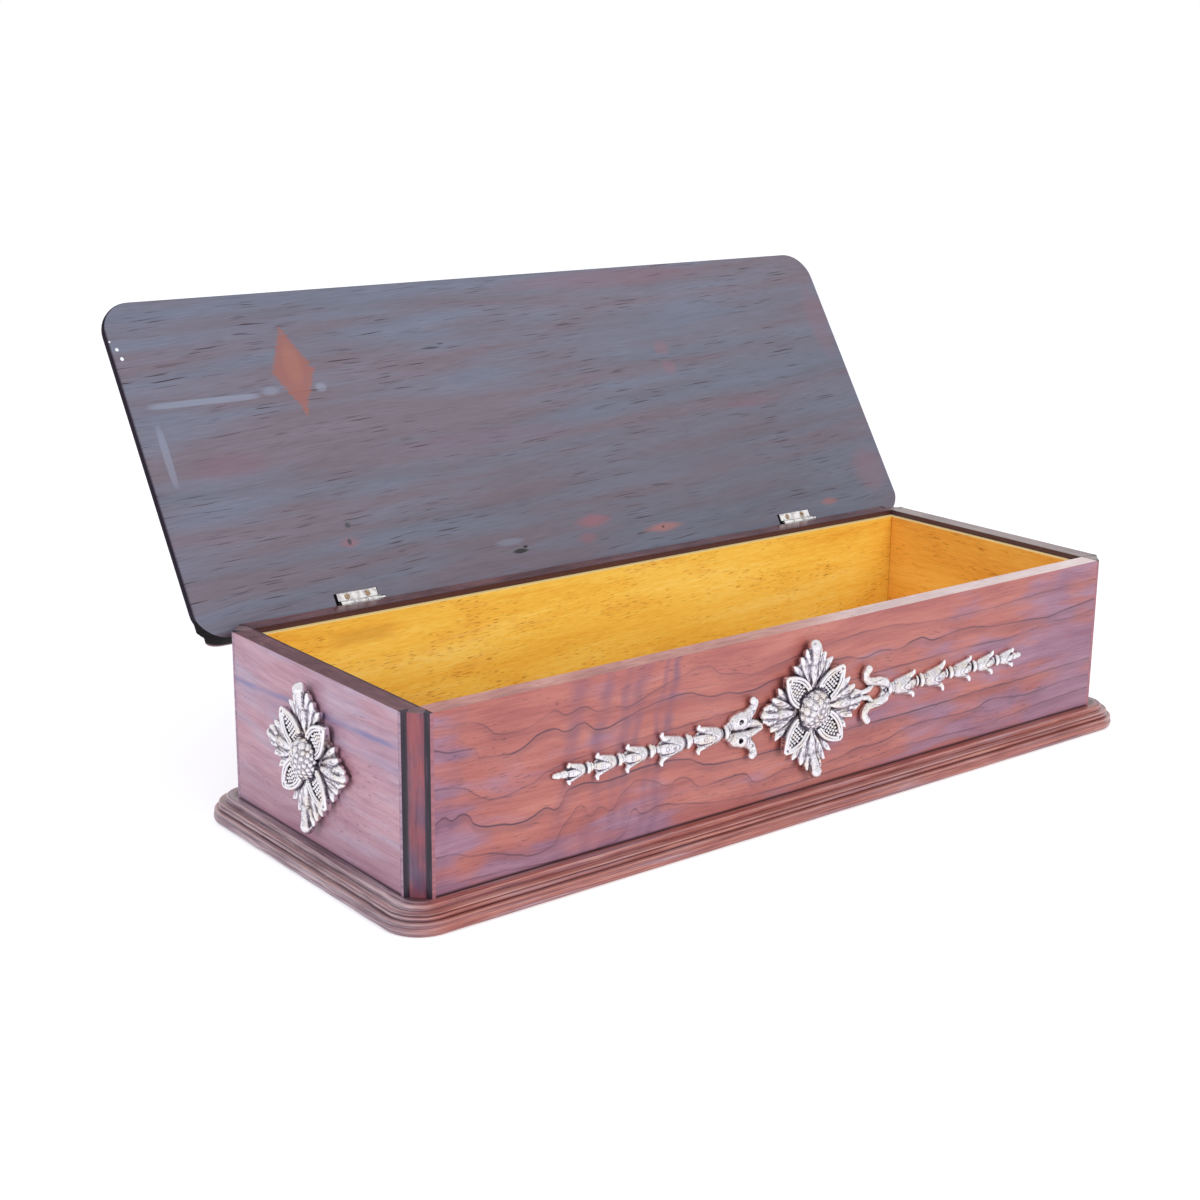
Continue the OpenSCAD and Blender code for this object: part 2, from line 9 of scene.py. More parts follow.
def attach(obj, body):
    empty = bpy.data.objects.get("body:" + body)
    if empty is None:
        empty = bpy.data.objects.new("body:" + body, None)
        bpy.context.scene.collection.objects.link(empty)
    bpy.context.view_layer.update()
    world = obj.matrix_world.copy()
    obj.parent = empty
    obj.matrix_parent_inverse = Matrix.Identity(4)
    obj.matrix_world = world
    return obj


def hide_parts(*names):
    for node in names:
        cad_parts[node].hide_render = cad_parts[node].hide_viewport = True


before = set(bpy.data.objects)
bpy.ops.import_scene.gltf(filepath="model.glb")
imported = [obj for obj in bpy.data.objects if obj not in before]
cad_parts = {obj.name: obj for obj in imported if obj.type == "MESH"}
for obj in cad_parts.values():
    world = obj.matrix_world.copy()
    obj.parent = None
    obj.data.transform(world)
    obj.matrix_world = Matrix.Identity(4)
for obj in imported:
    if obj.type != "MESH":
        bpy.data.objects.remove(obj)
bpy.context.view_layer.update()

# Sizes of the box, in millimetres and degrees
MM = 0.001                            # a millimetre in Blender's metres
CASE_L, CASE_D = 360.0, 130.5
WALL_T = 8.4
BACK_JOINT, END_JOINT = 172.4, 57.6   # from the middle of the back and end walls to where they meet the posts
POST_HALF = 2.9                       # half the bare wood of a cant, between its two black lines
BASE_H, BASE_R = 10.0, 15.0
RIM_Z = 76.0
NOSING_OUT, NOSING_H = 8.7, 5.1
BEAD_OUT = 6.5
TOP_OUT = 3.9
ROSETTE_Z = 43.8
GARLAND_Z = 42.9
SCROLL_X = 25.4
LID_TILT = 33.0                       # lean of the open lid back from upright
LID_FOOT = (0.0, 65.675, 71.62)       # middle of the lower edge of the lid's inner face


# Meshes

def add_piece(name, points, faces, material, body, stands_for, carried):
    """A smooth mesh piece from points in millimetres, which rides on a body and stands for a node. Carried
    holds the values that its points carry for the material."""
    mesh = bpy.data.meshes.new(name)
    mesh.from_pydata((np.asarray(points, float) * MM).tolist(), [], [list(map(int, face)) for face in faces])
    mesh.polygons.foreach_set("use_smooth", [True] * len(mesh.polygons))
    for title, values in carried.items():
        layer = mesh.attributes.new(title, "FLOAT", "POINT")
        layer.data.foreach_set("value", np.asarray(values, np.float32))
    mesh.validate()
    mesh.update()
    mesh.materials.append(material)
    piece = bpy.data.objects.new(name, mesh)
    bpy.context.scene.collection.objects.link(piece)
    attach(piece, body)
    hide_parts(stands_for)


def ease_edges(node, width, segments=2):
    """Softens the arrises of a piece that keeps its CAD shape, as sandpaper does; width in millimetres."""
    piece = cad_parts[node]
    weld = piece.modifiers.new("join faces", "WELD")
    weld.merge_threshold = 0.005 * MM
    bevel = piece.modifiers.new("eased arris", "BEVEL")
    bevel.width = width * MM
    bevel.segments = segments
    bevel.limit_method = "ANGLE"
    bevel.angle_limit = math.radians(35)


def arc(out, up, radius, start, end, steps):
    """Points of an arc in the plane of a moulding, angles in degrees from straight outward."""
    turns = np.radians(np.linspace(start, end, steps + 1))
    return [(out + radius * math.cos(t), up + radius * math.sin(t)) for t in turns]


# Casting in a block of space

class Mould:
    """A block of space, in mm, in which a casting is built up: it keeps the distance to the metal, which is
    less than 0 inside."""

    FAR = 5.0      # distance to the metal in the empty block
    BACK = 0.02    # height over the wall at which every casting is cut flat

    def __init__(self, low, high, cell):
        self.low = np.array(low, float)
        self.cell = cell
        self.lines = [np.arange(a, b + cell, cell) for a, b in zip(low, high)]
        self.space = np.full([len(line) for line in self.lines], self.FAR, np.float32)

    def part(self, low, high):
        """The slices of the block between two corners, and the x, y and z of their points."""
        cut, axes = [], []
        for line, a, b in zip(self.lines, low, high):
            i, j = np.searchsorted(line, a), np.searchsorted(line, b)
            cut.append(slice(max(i - 1, 0), j + 1))
            axes.append(line[cut[-1]])
        return tuple(cut), np.meshgrid(*axes, indexing="ij", sparse=True)

    def join(self, cut, shape, fillet, sink):
        """Adds a shape to the metal, or cuts it out, with a soft fillet where they meet."""
        old = -self.space[cut] if sink else self.space[cut]
        mix = np.clip(0.5 + 0.5 * (shape - old) / fillet, 0, 1)
        new = shape + (old - shape) * mix - fillet * mix * (1 - mix)
        self.space[cut] = -new if sink else new

    def rod(self, points, fillet=0.3, flat=1.0, sink=False):
        """A round rod through points (x, y, z, radius); flat below 1 presses it towards the wall."""
        p = np.array(points, float)
        reach = p[:, 3].max() + fillet + 0.6
        cut, (x, y, z) = self.part(p[:, :3].min(0) - reach, p[:, :3].max(0) + reach)
        near = None
        for a, b in zip(p[:-1], p[1:]):
            step = b[:3] - a[:3]
            step[2] /= flat
            length = max(float(step @ step), 1e-9)
            dx, dy, dz = x - a[0], y - a[1], (z - a[2]) / flat
            t = np.clip((dx * step[0] + dy * step[1] + dz * step[2]) / length, 0, 1)
            gap = np.sqrt((dx - t * step[0]) ** 2 + (dy - t * step[1]) ** 2 + (dz - t * step[2]) ** 2)
            gap -= a[3] + (b[3] - a[3]) * t
            near = gap if near is None else np.minimum(near, gap)
        self.join(cut, near * min(flat, 1.0), fillet, sink)

    def plate(self, outline, under, top, round_off, fillet, sink=False):
        """A plate with that outline in x and y between two heights, which are functions of x and y."""
        ring = np.array(outline, float)
        cut, (x, y, z) = self.part((*(ring.min(0) - 2), -1), (*(ring.max(0) + 2), 12))
        edge = np.full((x.shape[0], y.shape[1], 1), 1e9)
        inside = np.zeros(edge.shape, bool)
        for (ax, ay), (bx, by) in zip(ring, np.roll(ring, -1, 0)):
            ex, ey = bx - ax, by - ay
            t = np.clip(((x - ax) * ex + (y - ay) * ey) / (ex * ex + ey * ey), 0, 1)
            edge = np.minimum(edge, (x - ax - t * ex) ** 2 + (y - ay - t * ey) ** 2)
            if ay != by:
                inside ^= ((ay > y) != (by > y)) & (x < ex * (y - ay) / ey + ax)
        side = np.where(inside, -np.sqrt(edge), np.sqrt(edge)) + round_off
        level = np.maximum(z - top(x, y), under(x, y) - z) + round_off
        both = np.sqrt(np.maximum(side, 0) ** 2 + np.maximum(level, 0) ** 2)
        self.join(cut, both + np.minimum(np.maximum(side, level), 0) - round_off, fillet, sink)

    def skin(self, space, solid):
        """Points on the metal's surface, one in each cell that it crosses, and each cell's number or -1."""
        nx, ny, nz = np.array(space.shape) - 1
        marks = sum(solid[i:i + nx, j:j + ny, k:k + nz].astype(np.int8)
                    for i in (0, 1) for j in (0, 1) for k in (0, 1))
        mixed = (marks > 0) & (marks < 8)
        cells = np.argwhere(mixed)
        number = np.full(mixed.shape, -1, np.int64)
        number[mixed] = np.arange(len(cells))
        total, count = np.zeros((len(cells), 3)), np.zeros(len(cells))
        for axis in range(3):
            for i in (0, 1):
                for j in (0, 1):
                    a = cells.copy()
                    a[:, (axis + 1) % 3] += i
                    a[:, (axis + 2) % 3] += j
                    b = a.copy()
                    b[:, axis] += 1
                    at_a, at_b = space[tuple(a.T)], space[tuple(b.T)]
                    cross = (at_a < 0) != (at_b < 0)
                    t = at_a / np.where(cross, at_a - at_b, 1)
                    total[cross] += (a + (b - a) * t[:, None])[cross]
                    count += cross
        return self.low + total / count[:, None] * self.cell, number

    def quads(self, solid, number):
        """The quads between those points, wound so that they face out of the metal."""
        quads = []
        for axis in range(3):
            u, v = (axis + 1) % 3, (axis + 2) % 3
            here = [slice(1, -1)] * 3
            here[axis] = slice(0, -1)
            there = list(here)
            there[axis] = slice(1, None)
            change = solid[tuple(here)] != solid[tuple(there)]
            at = np.argwhere(change)
            faces_out = solid[tuple(here)][change]
            at[:, u] += 1
            at[:, v] += 1
            ring = []
            for du, dv in ((0, 0), (-1, 0), (-1, -1), (0, -1)):
                corner = at.copy()
                corner[:, u] += du
                corner[:, v] += dv
                ring.append(number[tuple(corner.T)])
            ring = np.stack(ring, 1)
            quads += [ring[faces_out], ring[~faces_out][:, ::-1]]
        return np.concatenate(quads)

    def hollows(self, space, points):
        """How deep in a hollow each point lies, from 0 to 1, by the share of metal near it and a little
        wider."""
        fill = np.clip(0.5 - space / self.cell, 0, 1)
        at = np.clip(np.rint((points - self.low) / self.cell).astype(int), 0, np.array(space.shape) - 1)
        share = np.zeros(len(points))
        for reach, weight in ((2, 0.55), (5, 0.45)):
            soft = fill
            window = 2 * reach + 1
            for axis in range(3):
                before = np.repeat(soft.take([0], axis), reach + 1, axis)
                after = np.repeat(soft.take([-1], axis), reach, axis)
                run = np.cumsum(np.concatenate([before, soft, after], axis), axis)
                n = soft.shape[axis]
                soft = (run.take(range(window, window + n), axis) - run.take(range(n), axis)) / window
            share += weight * soft[tuple(at.T)]
        return np.clip((share - 0.3) / 0.4, 0, 1)

    def cast(self):
        """The finished casting: points, quads, and how deep in a hollow each point lies."""
        space = np.maximum(self.space, self.BACK - self.lines[2])
        solid = space < 0
        points, number = self.skin(space, solid)
        quads = self.quads(solid, number)
        hollow = self.hollows(space, points)
        # Polishing: each point moves halfway to the middle of its neighbours, twice.
        for turn in range(2):
            total, count = np.zeros(points.shape), np.zeros(len(points))
            for a, b in ((0, 1), (1, 2), (2, 3), (3, 0), (1, 0), (2, 1), (3, 2), (0, 3)):
                for axis in range(3):
                    total[:, axis] += np.bincount(quads[:, a], points[quads[:, b], axis], len(points))
                count += np.bincount(quads[:, a], minlength=len(points))
            points = 0.5 * points + 0.5 * total / np.maximum(count, 1)[:, None]
        return points, quads, hollow


def place(points, origin, across, up):
    """Moves points of a mount from its own plane to a wall: x goes along across, y along up, z out of the
    wall."""
    across, up = np.array(across, float), np.array(up, float)
    turn = np.stack([across, up, np.cross(across, up)])
    return np.array(origin, float) + np.asarray(points) @ turn


# Finishes

def linear(hex_colour):
    """An sRGB hex colour as linear light, with full alpha."""
    parts = [int(hex_colour[i:i + 2], 16) / 255 for i in (1, 3, 5)]
    return tuple(c / 12.92 if c <= 0.04045 else ((c + 0.055) / 1.055) ** 2.4 for c in parts) + (1.0,)


def add(tree, kind, inputs=(), out=0, stops=None, line=None, **settings):
    """Adds a node with its settings, values and links, and gives back one of its outputs, or all of them
    where out is None. The inputs are a list in the node's order, or a dictionary. Stops colour a ramp, line
    draws a curve."""
    made = tree.nodes.new("ShaderNode" + kind)
    for key, value in settings.items():
        setattr(made, key, value)
    for key, value in inputs.items() if isinstance(inputs, dict) else enumerate(inputs):
        if isinstance(value, bpy.types.NodeSocket):
            tree.links.new(value, made.inputs[key])
        else:
            made.inputs[key].default_value = value
    if stops:
        ramp = made.color_ramp
        while len(ramp.elements) < len(stops):
            ramp.elements.new(1.0)
        for element, (spot, colour) in zip(ramp.elements, stops):
            element.position = spot
            element.color = linear(colour)
    if line:
        curve = made.mapping.curves[0]
        while len(curve.points) < len(line):
            curve.points.new(0.5, 0.5)
        for point, spot in zip(curve.points, line):
            point.location = spot
        made.mapping.update()
    return made.outputs if out is None else made.outputs[out]


def start_finish(name):
    """An empty material and its tree."""
    material = bpy.data.materials.new(name)
    material.use_nodes = True
    material.node_tree.nodes.clear()
    return material, material.node_tree


def millimetres(tree):
    """The place of each point in the frame of the box, in millimetres."""
    spot = add(tree, "TexCoord", out="Object")
    return add(tree, "Mapping", {"Vector": spot, "Scale": (1 / MM,) * 3})


def grain_space(tree, order, tilt=None):
    """Millimetres along the grain, across it and into the board. A moulding's points carry the first two
    themselves and it has no depth, and a tilted board has its own frame, which starts at the lid's foot."""
    if order == "moulding":
        return [add(tree, "Attribute", out="Fac", attribute_name=title) for title in ("along", "round", "none")]
    if tilt is None:
        spot = millimetres(tree)
    else:
        spot = add(tree, "Mapping", {"Vector": add(tree, "TexCoord", out="Object"),
                                     "Location": [v * MM for v in LID_FOOT],
                                     "Rotation": (math.radians(90 - tilt), 0, 0), "Scale": (MM,) * 3},
                   vector_type="TEXTURE")
    parts = add(tree, "SeparateXYZ", [spot], out=None)
    return [parts["XYZ".index(letter)] for letter in order]


def wood_patterns(tree, where, patterns, seed):
    """Soft patterns stretched along the grain: each has its size along, across and into the board in mm, and
    how much fine detail it has."""
    made = {}
    for title, size, detail in patterns:
        scaled = add(tree, "Mapping", {"Vector": where, "Scale": [1 / v for v in size]})
        made[title] = add(tree, "TexNoise", {"Vector": scaled, "Scale": 1.0, "Detail": detail, "W": seed},
                          noise_dimensions="4D")
    return made


DRAWN_HALF = 180.0     # growth lines and curls are drawn from -180 to 180 mm along the front board
DRIFT_HALF = 190.0     # and its drift of colour from -190 to 190 mm
LINE_SCALE = 100.0     # a drawn growth line's height, in mm, that its curve shows as 1
ZONE_EDGE = 0.2        # share of the zones' pattern in which red ground passes into purple
THREE_TONES = (0.40, 0.50, 0.60)


def growth_lines(tree, wood, where, lines, veins, seed):
    """The strongest growth lines, drawn one by one: each has a path of places along and heights, a width in
    mm and a depth of colour, a soft shade on its lower side, and grows stronger and weaker along the
    board."""
    at = add(tree, "MapRange", [wood["along"], -DRAWN_HALF, DRAWN_HALF, 0.0, 1.0])
    ragged = add(tree, "TexNoise", {"Vector": where, "Scale": 1 / 6, "Detail": 1.0, "W": seed + 7},
                 noise_dimensions="4D")
    ragged = add(tree, "Math", [ragged, 1.0, -0.5], operation="MULTIPLY_ADD")
    weight = add(tree, "TexNoise", {"Vector": where, "Scale": 1 / 22, "Detail": 1.0, "W": seed + 9},
                 noise_dimensions="4D")
    for number, (path, width, depth) in enumerate(veins):
        drawn = [((x + DRAWN_HALF) / (2 * DRAWN_HALF), z / LINE_SCALE) for x, z in path]
        height = add(tree, "FloatCurve", {1: at}, line=drawn)
        gap = add(tree, "Math", [height, LINE_SCALE, ragged], operation="MULTIPLY_ADD")
        gap = add(tree, "Math", [gap, wood["across"]], operation="SUBTRACT")
        core = add(tree, "Math", [gap], operation="ABSOLUTE")
        core = add(tree, "MapRange", [core, 0.0, width * 0.95, depth, 0.0], interpolation_type="SMOOTHSTEP")
        shade = add(tree, "Math", [gap, width * 2.2], operation="SUBTRACT")
        shade = add(tree, "Math", [shade], operation="ABSOLUTE")
        shade = add(tree, "MapRange", [shade, 0.0, width * 5.0, depth * 0.32, 0.0],
                    interpolation_type="SMOOTHSTEP")
        ends = (0.5, 1.1) if number % 2 else (1.1, 0.5)
        force = add(tree, "MapRange", [weight, 0.36, 0.6, *ends])
        line = add(tree, "Math", [core, shade], operation="ADD")
        line = add(tree, "Math", [line, force], operation="MULTIPLY")
        lines = add(tree, "Math", [lines, line], operation="MAXIMUM")
    return lines


def cross_curl(tree, wood, where, colour, curls, seed):
    """Soft purple bands across the grain, where the fibres curl: they lean to the right and waver like
    smoke."""
    lean, shift = 0.18, 10.4
    smoke = add(tree, "TexNoise", {"Vector": where, "Scale": 1 / 17, "Detail": 1.0, "W": seed + 5},
                noise_dimensions="4D")
    smoke = add(tree, "Math", [smoke, 0.5], operation="SUBTRACT")
    at = add(tree, "Math", [smoke, 13.0, wood["along"]], operation="MULTIPLY_ADD")
    at = add(tree, "Math", [wood["across"], -lean, at], operation="MULTIPLY_ADD")
    at = add(tree, "MapRange", [at, -DRAWN_HALF - shift, DRAWN_HALF - shift, 0.0, 1.0])
    drawn = [((x + DRAWN_HALF) / (2 * DRAWN_HALF), strength) for x, strength in curls]
    curl = add(tree, "FloatCurve", {1: at}, line=drawn)
    broken = add(tree, "MapRange", [wood["patch"], 0.36, 0.56, 0.35, 0.85])
    curl = add(tree, "Math", [curl, broken], operation="MULTIPLY")
    higher = add(tree, "MapRange", [wood["across"], 34.0, 48.0, 0.6, 1.0])
    curl = add(tree, "Math", [curl, higher], operation="MULTIPLY")
    return add(tree, "Mix", {0: curl, 6: colour, 7: linear("#74506A")}, out=2, data_type="RGBA")


def dark_joints(tree, wood, colour, low, high, foot):
    """The board turns near black where it meets its neighbours, at its two ends and along its foot."""
    left = add(tree, "Math", [wood["along"], low], operation="SUBTRACT")
    right = add(tree, "Math", [high, wood["along"]], operation="SUBTRACT")
    edge = add(tree, "Math", [left, right], operation="MINIMUM")
    up = add(tree, "SeparateXYZ", [millimetres(tree)], out="Z")
    up = add(tree, "Math", [up, foot], operation="SUBTRACT")
    edge = add(tree, "Math", [edge, up], operation="MINIMUM")
    edge = add(tree, "Math", [wood["fibre"], -0.5, edge], operation="MULTIPLY_ADD")
    joint_dark = add(tree, "MapRange", [edge, 0.1, 1.1, 0.9, 0.0], interpolation_type="SMOOTHSTEP")
    return add(tree, "Mix", {0: joint_dark, 6: colour, 7: linear("#241218")}, out=2, data_type="RGBA")


def rosewood(name, warm, cool, order="XZY", tilt=None, seed=0.0, sway=1.0, rise=0.0, zone=(60, 11), share=0.5,
             drift_to=None, fall=0.0, fine=1.5, patch=(32, 6), figure=(0.40, 0.32, 0.28), vein="#5C3847",
             veins=(), curls=None, pores=0.5, pore=(4, 0.45), rim=None, rim_painted_reflection=None, end_sheen=None, shine=0.36,
             joints=None, marks=None):
    """Brazilian rosewood, planed, scraped and wax polished over shellac: orange-red ground that passes into
    purple-brown zones, thin blue-black growth lines with a purple shade on one side, soft cross curl, fibres
    that catch the light, open pores that read as short dark dashes, dark joints, painted light and shade on
    the rim's upward faces, and a soft sheen."""
    material, tree = start_finish(name)
    along, across, deep = grain_space(tree, order, tilt)
    # Growth sways by a few millimetres over a hand's width.
    where = add(tree, "CombineXYZ", [along, across, deep])
    slow = add(tree, "TexNoise", {"Vector": where, "Scale": 1 / 55, "Detail": 1.0, "W": seed},
               noise_dimensions="4D")
    slow = add(tree, "Math", [slow, 0.5], operation="SUBTRACT")
    swayed = add(tree, "Math", [slow, sway * 9, across], operation="MULTIPLY_ADD")
    swayed = add(tree, "Math", [along, -rise, swayed], operation="MULTIPLY_ADD")
    swayed = add(tree, "CombineXYZ", [along, swayed, deep])
    # Zones of colour, streaks, single fibres (0.2 mm in the wood, drawn 0.5 mm so that they show) and pores.
    wood = wood_patterns(tree, swayed, (("zone", (*zone, 40), 2.0), ("patch", (*patch, 20), 1.5),
                                        ("streak", (48, fine, 8), 2.5), ("fibre", (10, 0.5, 2), 1.5),
                                        ("pore", (*pore, 1.5), 1.0), ("cluster", (55, 16, 30), 2.0)), seed + 3)
    wood.update(along=along, across=across, deep=deep)
    light = add(tree, "Math", [wood["patch"], figure[0]], operation="MULTIPLY")
    for title, part in zip(("streak", "fibre"), figure[1:]):
        light = add(tree, "Math", [wood[title], part, light], operation="MULTIPLY_ADD")
    hue = add(tree, "Math", [wood["zone"], 0.65], operation="MULTIPLY")
    hue = add(tree, "Math", [wood["patch"], 0.35, hue], operation="MULTIPLY_ADD")
    if drift_to:
        at = add(tree, "MapRange", [along, -DRIFT_HALF, DRIFT_HALF, 0.0, 1.0])
        drawn = [((x + DRIFT_HALF) / (2 * DRIFT_HALF), purple) for x, purple in drift_to]
        drift = add(tree, "FloatCurve", {1: at}, line=drawn)
        drift = add(tree, "Math", [drift, 0.5], operation="SUBTRACT")
        hue = add(tree, "Math", [drift, 0.34, hue], operation="MULTIPLY_ADD")
    if fall:
        # A fall of 1 takes the wall from purple at its foot to red at its rim.
        above = add(tree, "Math", [across, (BASE_H + RIM_Z) / 2], operation="SUBTRACT")
        hue = add(tree, "Math", [above, -fall * ZONE_EDGE / (RIM_Z - BASE_H), hue], operation="MULTIPLY_ADD")
    start = 0.58 - 0.24 * share
    hue = add(tree, "MapRange", [hue, start, start + ZONE_EDGE, 0.0, 1.0], interpolation_type="SMOOTHSTEP")
    tones = np.linspace(0.37, 0.63, len(warm))
    red = add(tree, "ValToRGB", [light], stops=list(zip(tones, warm)))
    purple = add(tree, "ValToRGB", [light], stops=list(zip(tones, cool)))
    colour = add(tree, "Mix", {0: hue, 6: red, 7: purple}, out=2, data_type="RGBA")
    lines = add(tree, "MapRange", [wood["streak"], 0.60, 0.70, 0.0, 0.25], interpolation_type="SMOOTHSTEP")
    if veins:
        lines = growth_lines(tree, wood, where, lines, veins, seed)
    if curls:
        colour = cross_curl(tree, wood, where, colour, curls, seed)
    colour = add(tree, "Mix", {0: lines, 6: colour, 7: linear(vein)}, out=2, data_type="RGBA")
    # Open pores: dashes a few millimetres long, thick in some growth and rare in other.
    dash = add(tree, "MapRange", [wood["pore"], 0.62, 0.70, 0.0, 1.0])
    crowd = add(tree, "MapRange", [wood["cluster"], 0.42, 0.62, 0.0, pores])
    dash = add(tree, "Math", [dash, crowd], operation="MULTIPLY")
    colour = add(tree, "Mix", {0: dash, 6: colour, 7: linear("#34222E")}, out=2, data_type="RGBA")
    rough = add(tree, "MapRange", [light, 0.4, 0.6, shine + 0.06, shine - 0.05])
    if rim:
        # Painted light and shade: the rim's upward faces take their own tones, a painted sheen on the front
        # that pales to the right as a painted reflection of the white surroundings, and painted shade on the
        # back rim under the lid. They are made shinier too.
        upward = add(tree, "SeparateXYZ", [add(tree, "TexCoord", out="Normal")], out="Z")
        upward = add(tree, "MapRange", [upward, 0.5, 0.8, 0.0, 1.0])
        top = add(tree, "ValToRGB", [light], stops=list(zip(THREE_TONES, rim)))
        if rim_painted_reflection:
            far = add(tree, "ValToRGB", [light], stops=list(zip(THREE_TONES, rim_painted_reflection)))
            right = add(tree, "MapRange", [along, -10.0, 45.0, 0.0, 1.0], interpolation_type="SMOOTHSTEP")
            top = add(tree, "Mix", {0: right, 6: top, 7: far}, out=2, data_type="RGBA")
        colour = add(tree, "Mix", {0: upward, 6: colour, 7: top}, out=2, data_type="RGBA")
        rough = add(tree, "Math", [upward, -0.14, rough], operation="MULTIPLY_ADD")
    if end_sheen:
        # Painted sheen: the ends of the base take paler grey tones for the white surroundings they reflect.
        end_sheen_share = add(tree, "Math", [add(tree, "Attribute", out="Fac", attribute_name="end"), 0.8],
                      operation="MULTIPLY")
        pale = add(tree, "ValToRGB", [light], stops=list(zip(THREE_TONES, end_sheen)))
        colour = add(tree, "Mix", {0: end_sheen_share, 6: colour, 7: pale}, out=2, data_type="RGBA")
    if joints:
        colour = dark_joints(tree, wood, colour, *joints)
    if marks:
        colour = marks(tree, colour, wood)
    gloss = {"Coat Weight": 0.12, "Coat Roughness": 0.22}
    if "matt" in wood:
        gloss["Specular IOR Level"] = add(tree, "MapRange", [wood["matt"], 0.0, 1.0, 0.5, 0.12])
        gloss["Coat Weight"] = add(tree, "MapRange", [wood["matt"], 0.0, 1.0, 0.12, 0.0])
        rough = add(tree, "Math", [wood["matt"], 0.35, rough], operation="MULTIPLY_ADD")
    relief = add(tree, "Math", [dash, -1.0, wood["fibre"]], operation="MULTIPLY_ADD")
    bump = add(tree, "Bump", {"Strength": 0.2, "Distance": 0.1 * MM, "Height": relief})
    shader = add(tree, "BsdfPrincipled", {"Base Color": colour, "Roughness": rough, "IOR": 1.47, "Normal": bump,
                                          **gloss})
    add(tree, "OutputMaterial", {"Surface": shader}, out=None)
    return material


# Growth lines of the front board and of the ends: places along the wall and heights in millimetres, then the
# line's width in millimetres and depth of colour.
FRONT_VEINS = [
    ([(-180, 72), (-165, 70), (-155, 69), (-150, 66.3), (-146.7, 63.4), (-140, 62.2), (-133, 62.6),
      (-126.7, 65), (-121.7, 66.7), (-116.7, 64.2), (-109, 65.5), (-102.5, 62.6), (-94, 63), (-90, 61.7),
      (-80, 64), (-66, 68), (-51.7, 69.7), (-45, 65.5), (-36.7, 64.3), (-27.5, 62.2), (-20, 63.5), (0, 66),
      (20, 68), (40, 68.7), (66, 66.5), (100, 66), (140, 67.5), (180, 68)], 0.55, 0.62),
    ([(-180, 63), (-172, 62.6), (-165, 60.5), (-155, 60), (-153.6, 56.3), (-146.6, 55.5), (-139, 55),
      (-133, 57.2), (-126, 60), (-121.7, 60), (-116, 58), (-109, 59.7), (-106.7, 58.4), (-102, 55.6), (-92, 57),
      (-80, 60), (-60, 61), (-55, 59.3), (-48, 57.6), (-41.7, 57.6), (-35, 56.2), (-28, 56.2), (-21, 57.6),
      (0, 59), (20, 60), (30, 58), (40, 59.3), (47.5, 58), (62.5, 60.5), (69, 58.4), (87.5, 60), (105, 58),
      (131, 56.7), (140, 56), (151.7, 57.2), (180, 59.8)], 0.6, 0.85),
    ([(-180, 49), (-171.7, 48.8), (-165.8, 48), (-160, 46.7), (-155, 43.4), (-151.7, 41.3), (-145, 40),
      (-138, 40.9), (-132.5, 41.7), (-124, 45), (-110, 47), (-60, 49), (0, 50), (60, 51), (75, 51.3),
      (93, 51.5), (111.7, 51), (123, 51.2), (135, 52.6), (143, 53.8), (150, 53), (158, 53),
      (180, 55.5)], 0.6, 0.7),
    ([(-180, 35.5), (-171.7, 36.3), (-167.5, 38), (-165, 36), (-160.8, 37.6), (-157.5, 36), (-155.8, 33),
      (-149, 30.5), (-144, 30), (-136.7, 28.8), (-130, 30), (-125, 31.7), (-120.8, 30), (-118, 32.6),
      (-116, 36), (-108, 37), (-100, 35.5), (-80, 37), (-60, 35.5), (-55, 33), (-50.8, 31.3), (-42.5, 30.5),
      (-32.5, 30), (-26.7, 29.7), (20, 30), (60, 30), (77, 30.3), (100, 31), (125, 31), (157, 32),
      (180, 32)], 0.62, 0.95),
    ([(-180, 24), (-163, 23.8), (-160, 22.6), (-155.8, 21.3), (-149, 20.5), (-143, 18.8), (-136.7, 16.8),
      (-130, 15.5), (-123, 16.8), (-120, 19.7), (-118.7, 22), (-114, 26.3), (-109.6, 28.8), (-106.7, 24.3),
      (-104.6, 23.8), (-102.5, 26.3), (-100, 26), (-96.7, 23.8), (-92.5, 28), (-88, 31), (-85, 32.6),
      (-80, 31.7), (-75.8, 30), (-68.3, 27.2), (-65, 28.8), (-60, 28), (-53.3, 23), (-46.7, 23.4),
      (-31.7, 23.4), (-26.7, 18.8), (-20.8, 18.8), (-10, 20.5), (6.7, 18.4), (17.5, 18.8), (27.5, 20.5),
      (40, 20.5), (60, 23.8), (96.7, 23.4), (108, 25.5), (124, 23.8), (135, 23.4), (151.7, 24.7),
      (180, 24)], 0.6, 0.85),
    ([(-180, 14), (-155, 13), (-92.5, 12), (-88, 18), (-86, 22), (-84, 21.3), (-82.5, 19.3), (-77.5, 19.7),
      (-74, 20.5), (-65, 19), (-50, 16), (-30, 14), (10, 14), (36, 15), (60, 16), (100, 15), (140, 17.5),
      (180, 18.8)], 0.6, 0.6),
]
END_VEINS = [([(-180, 62), (-60, 63), (-40, 62), (-10, 61), (20, 60), (45, 58.5), (180, 57)], 2.0, 0.8)]
# Soft cross curl of the front board: places along the wall and strength.
FRONT_CURLS = [(-180, 0), (-166, 0), (-162, 0.25), (-158, 0), (-119, 0.02), (-112.5, 0.6), (-107, 0.02),
               (-103.5, 0.04), (-100.2, 0.6), (-96.5, 0.05), (-93.8, 0.1), (-91, 0.62), (-88.6, 0.3),
               (-85.5, 0.65), (-81.8, 0.02), (-77.6, 0.02), (-74.6, 0.62), (-72.6, 0.15), (-69.6, 0.85),
               (-66.4, 0.02), (-40, 0), (180, 0)]
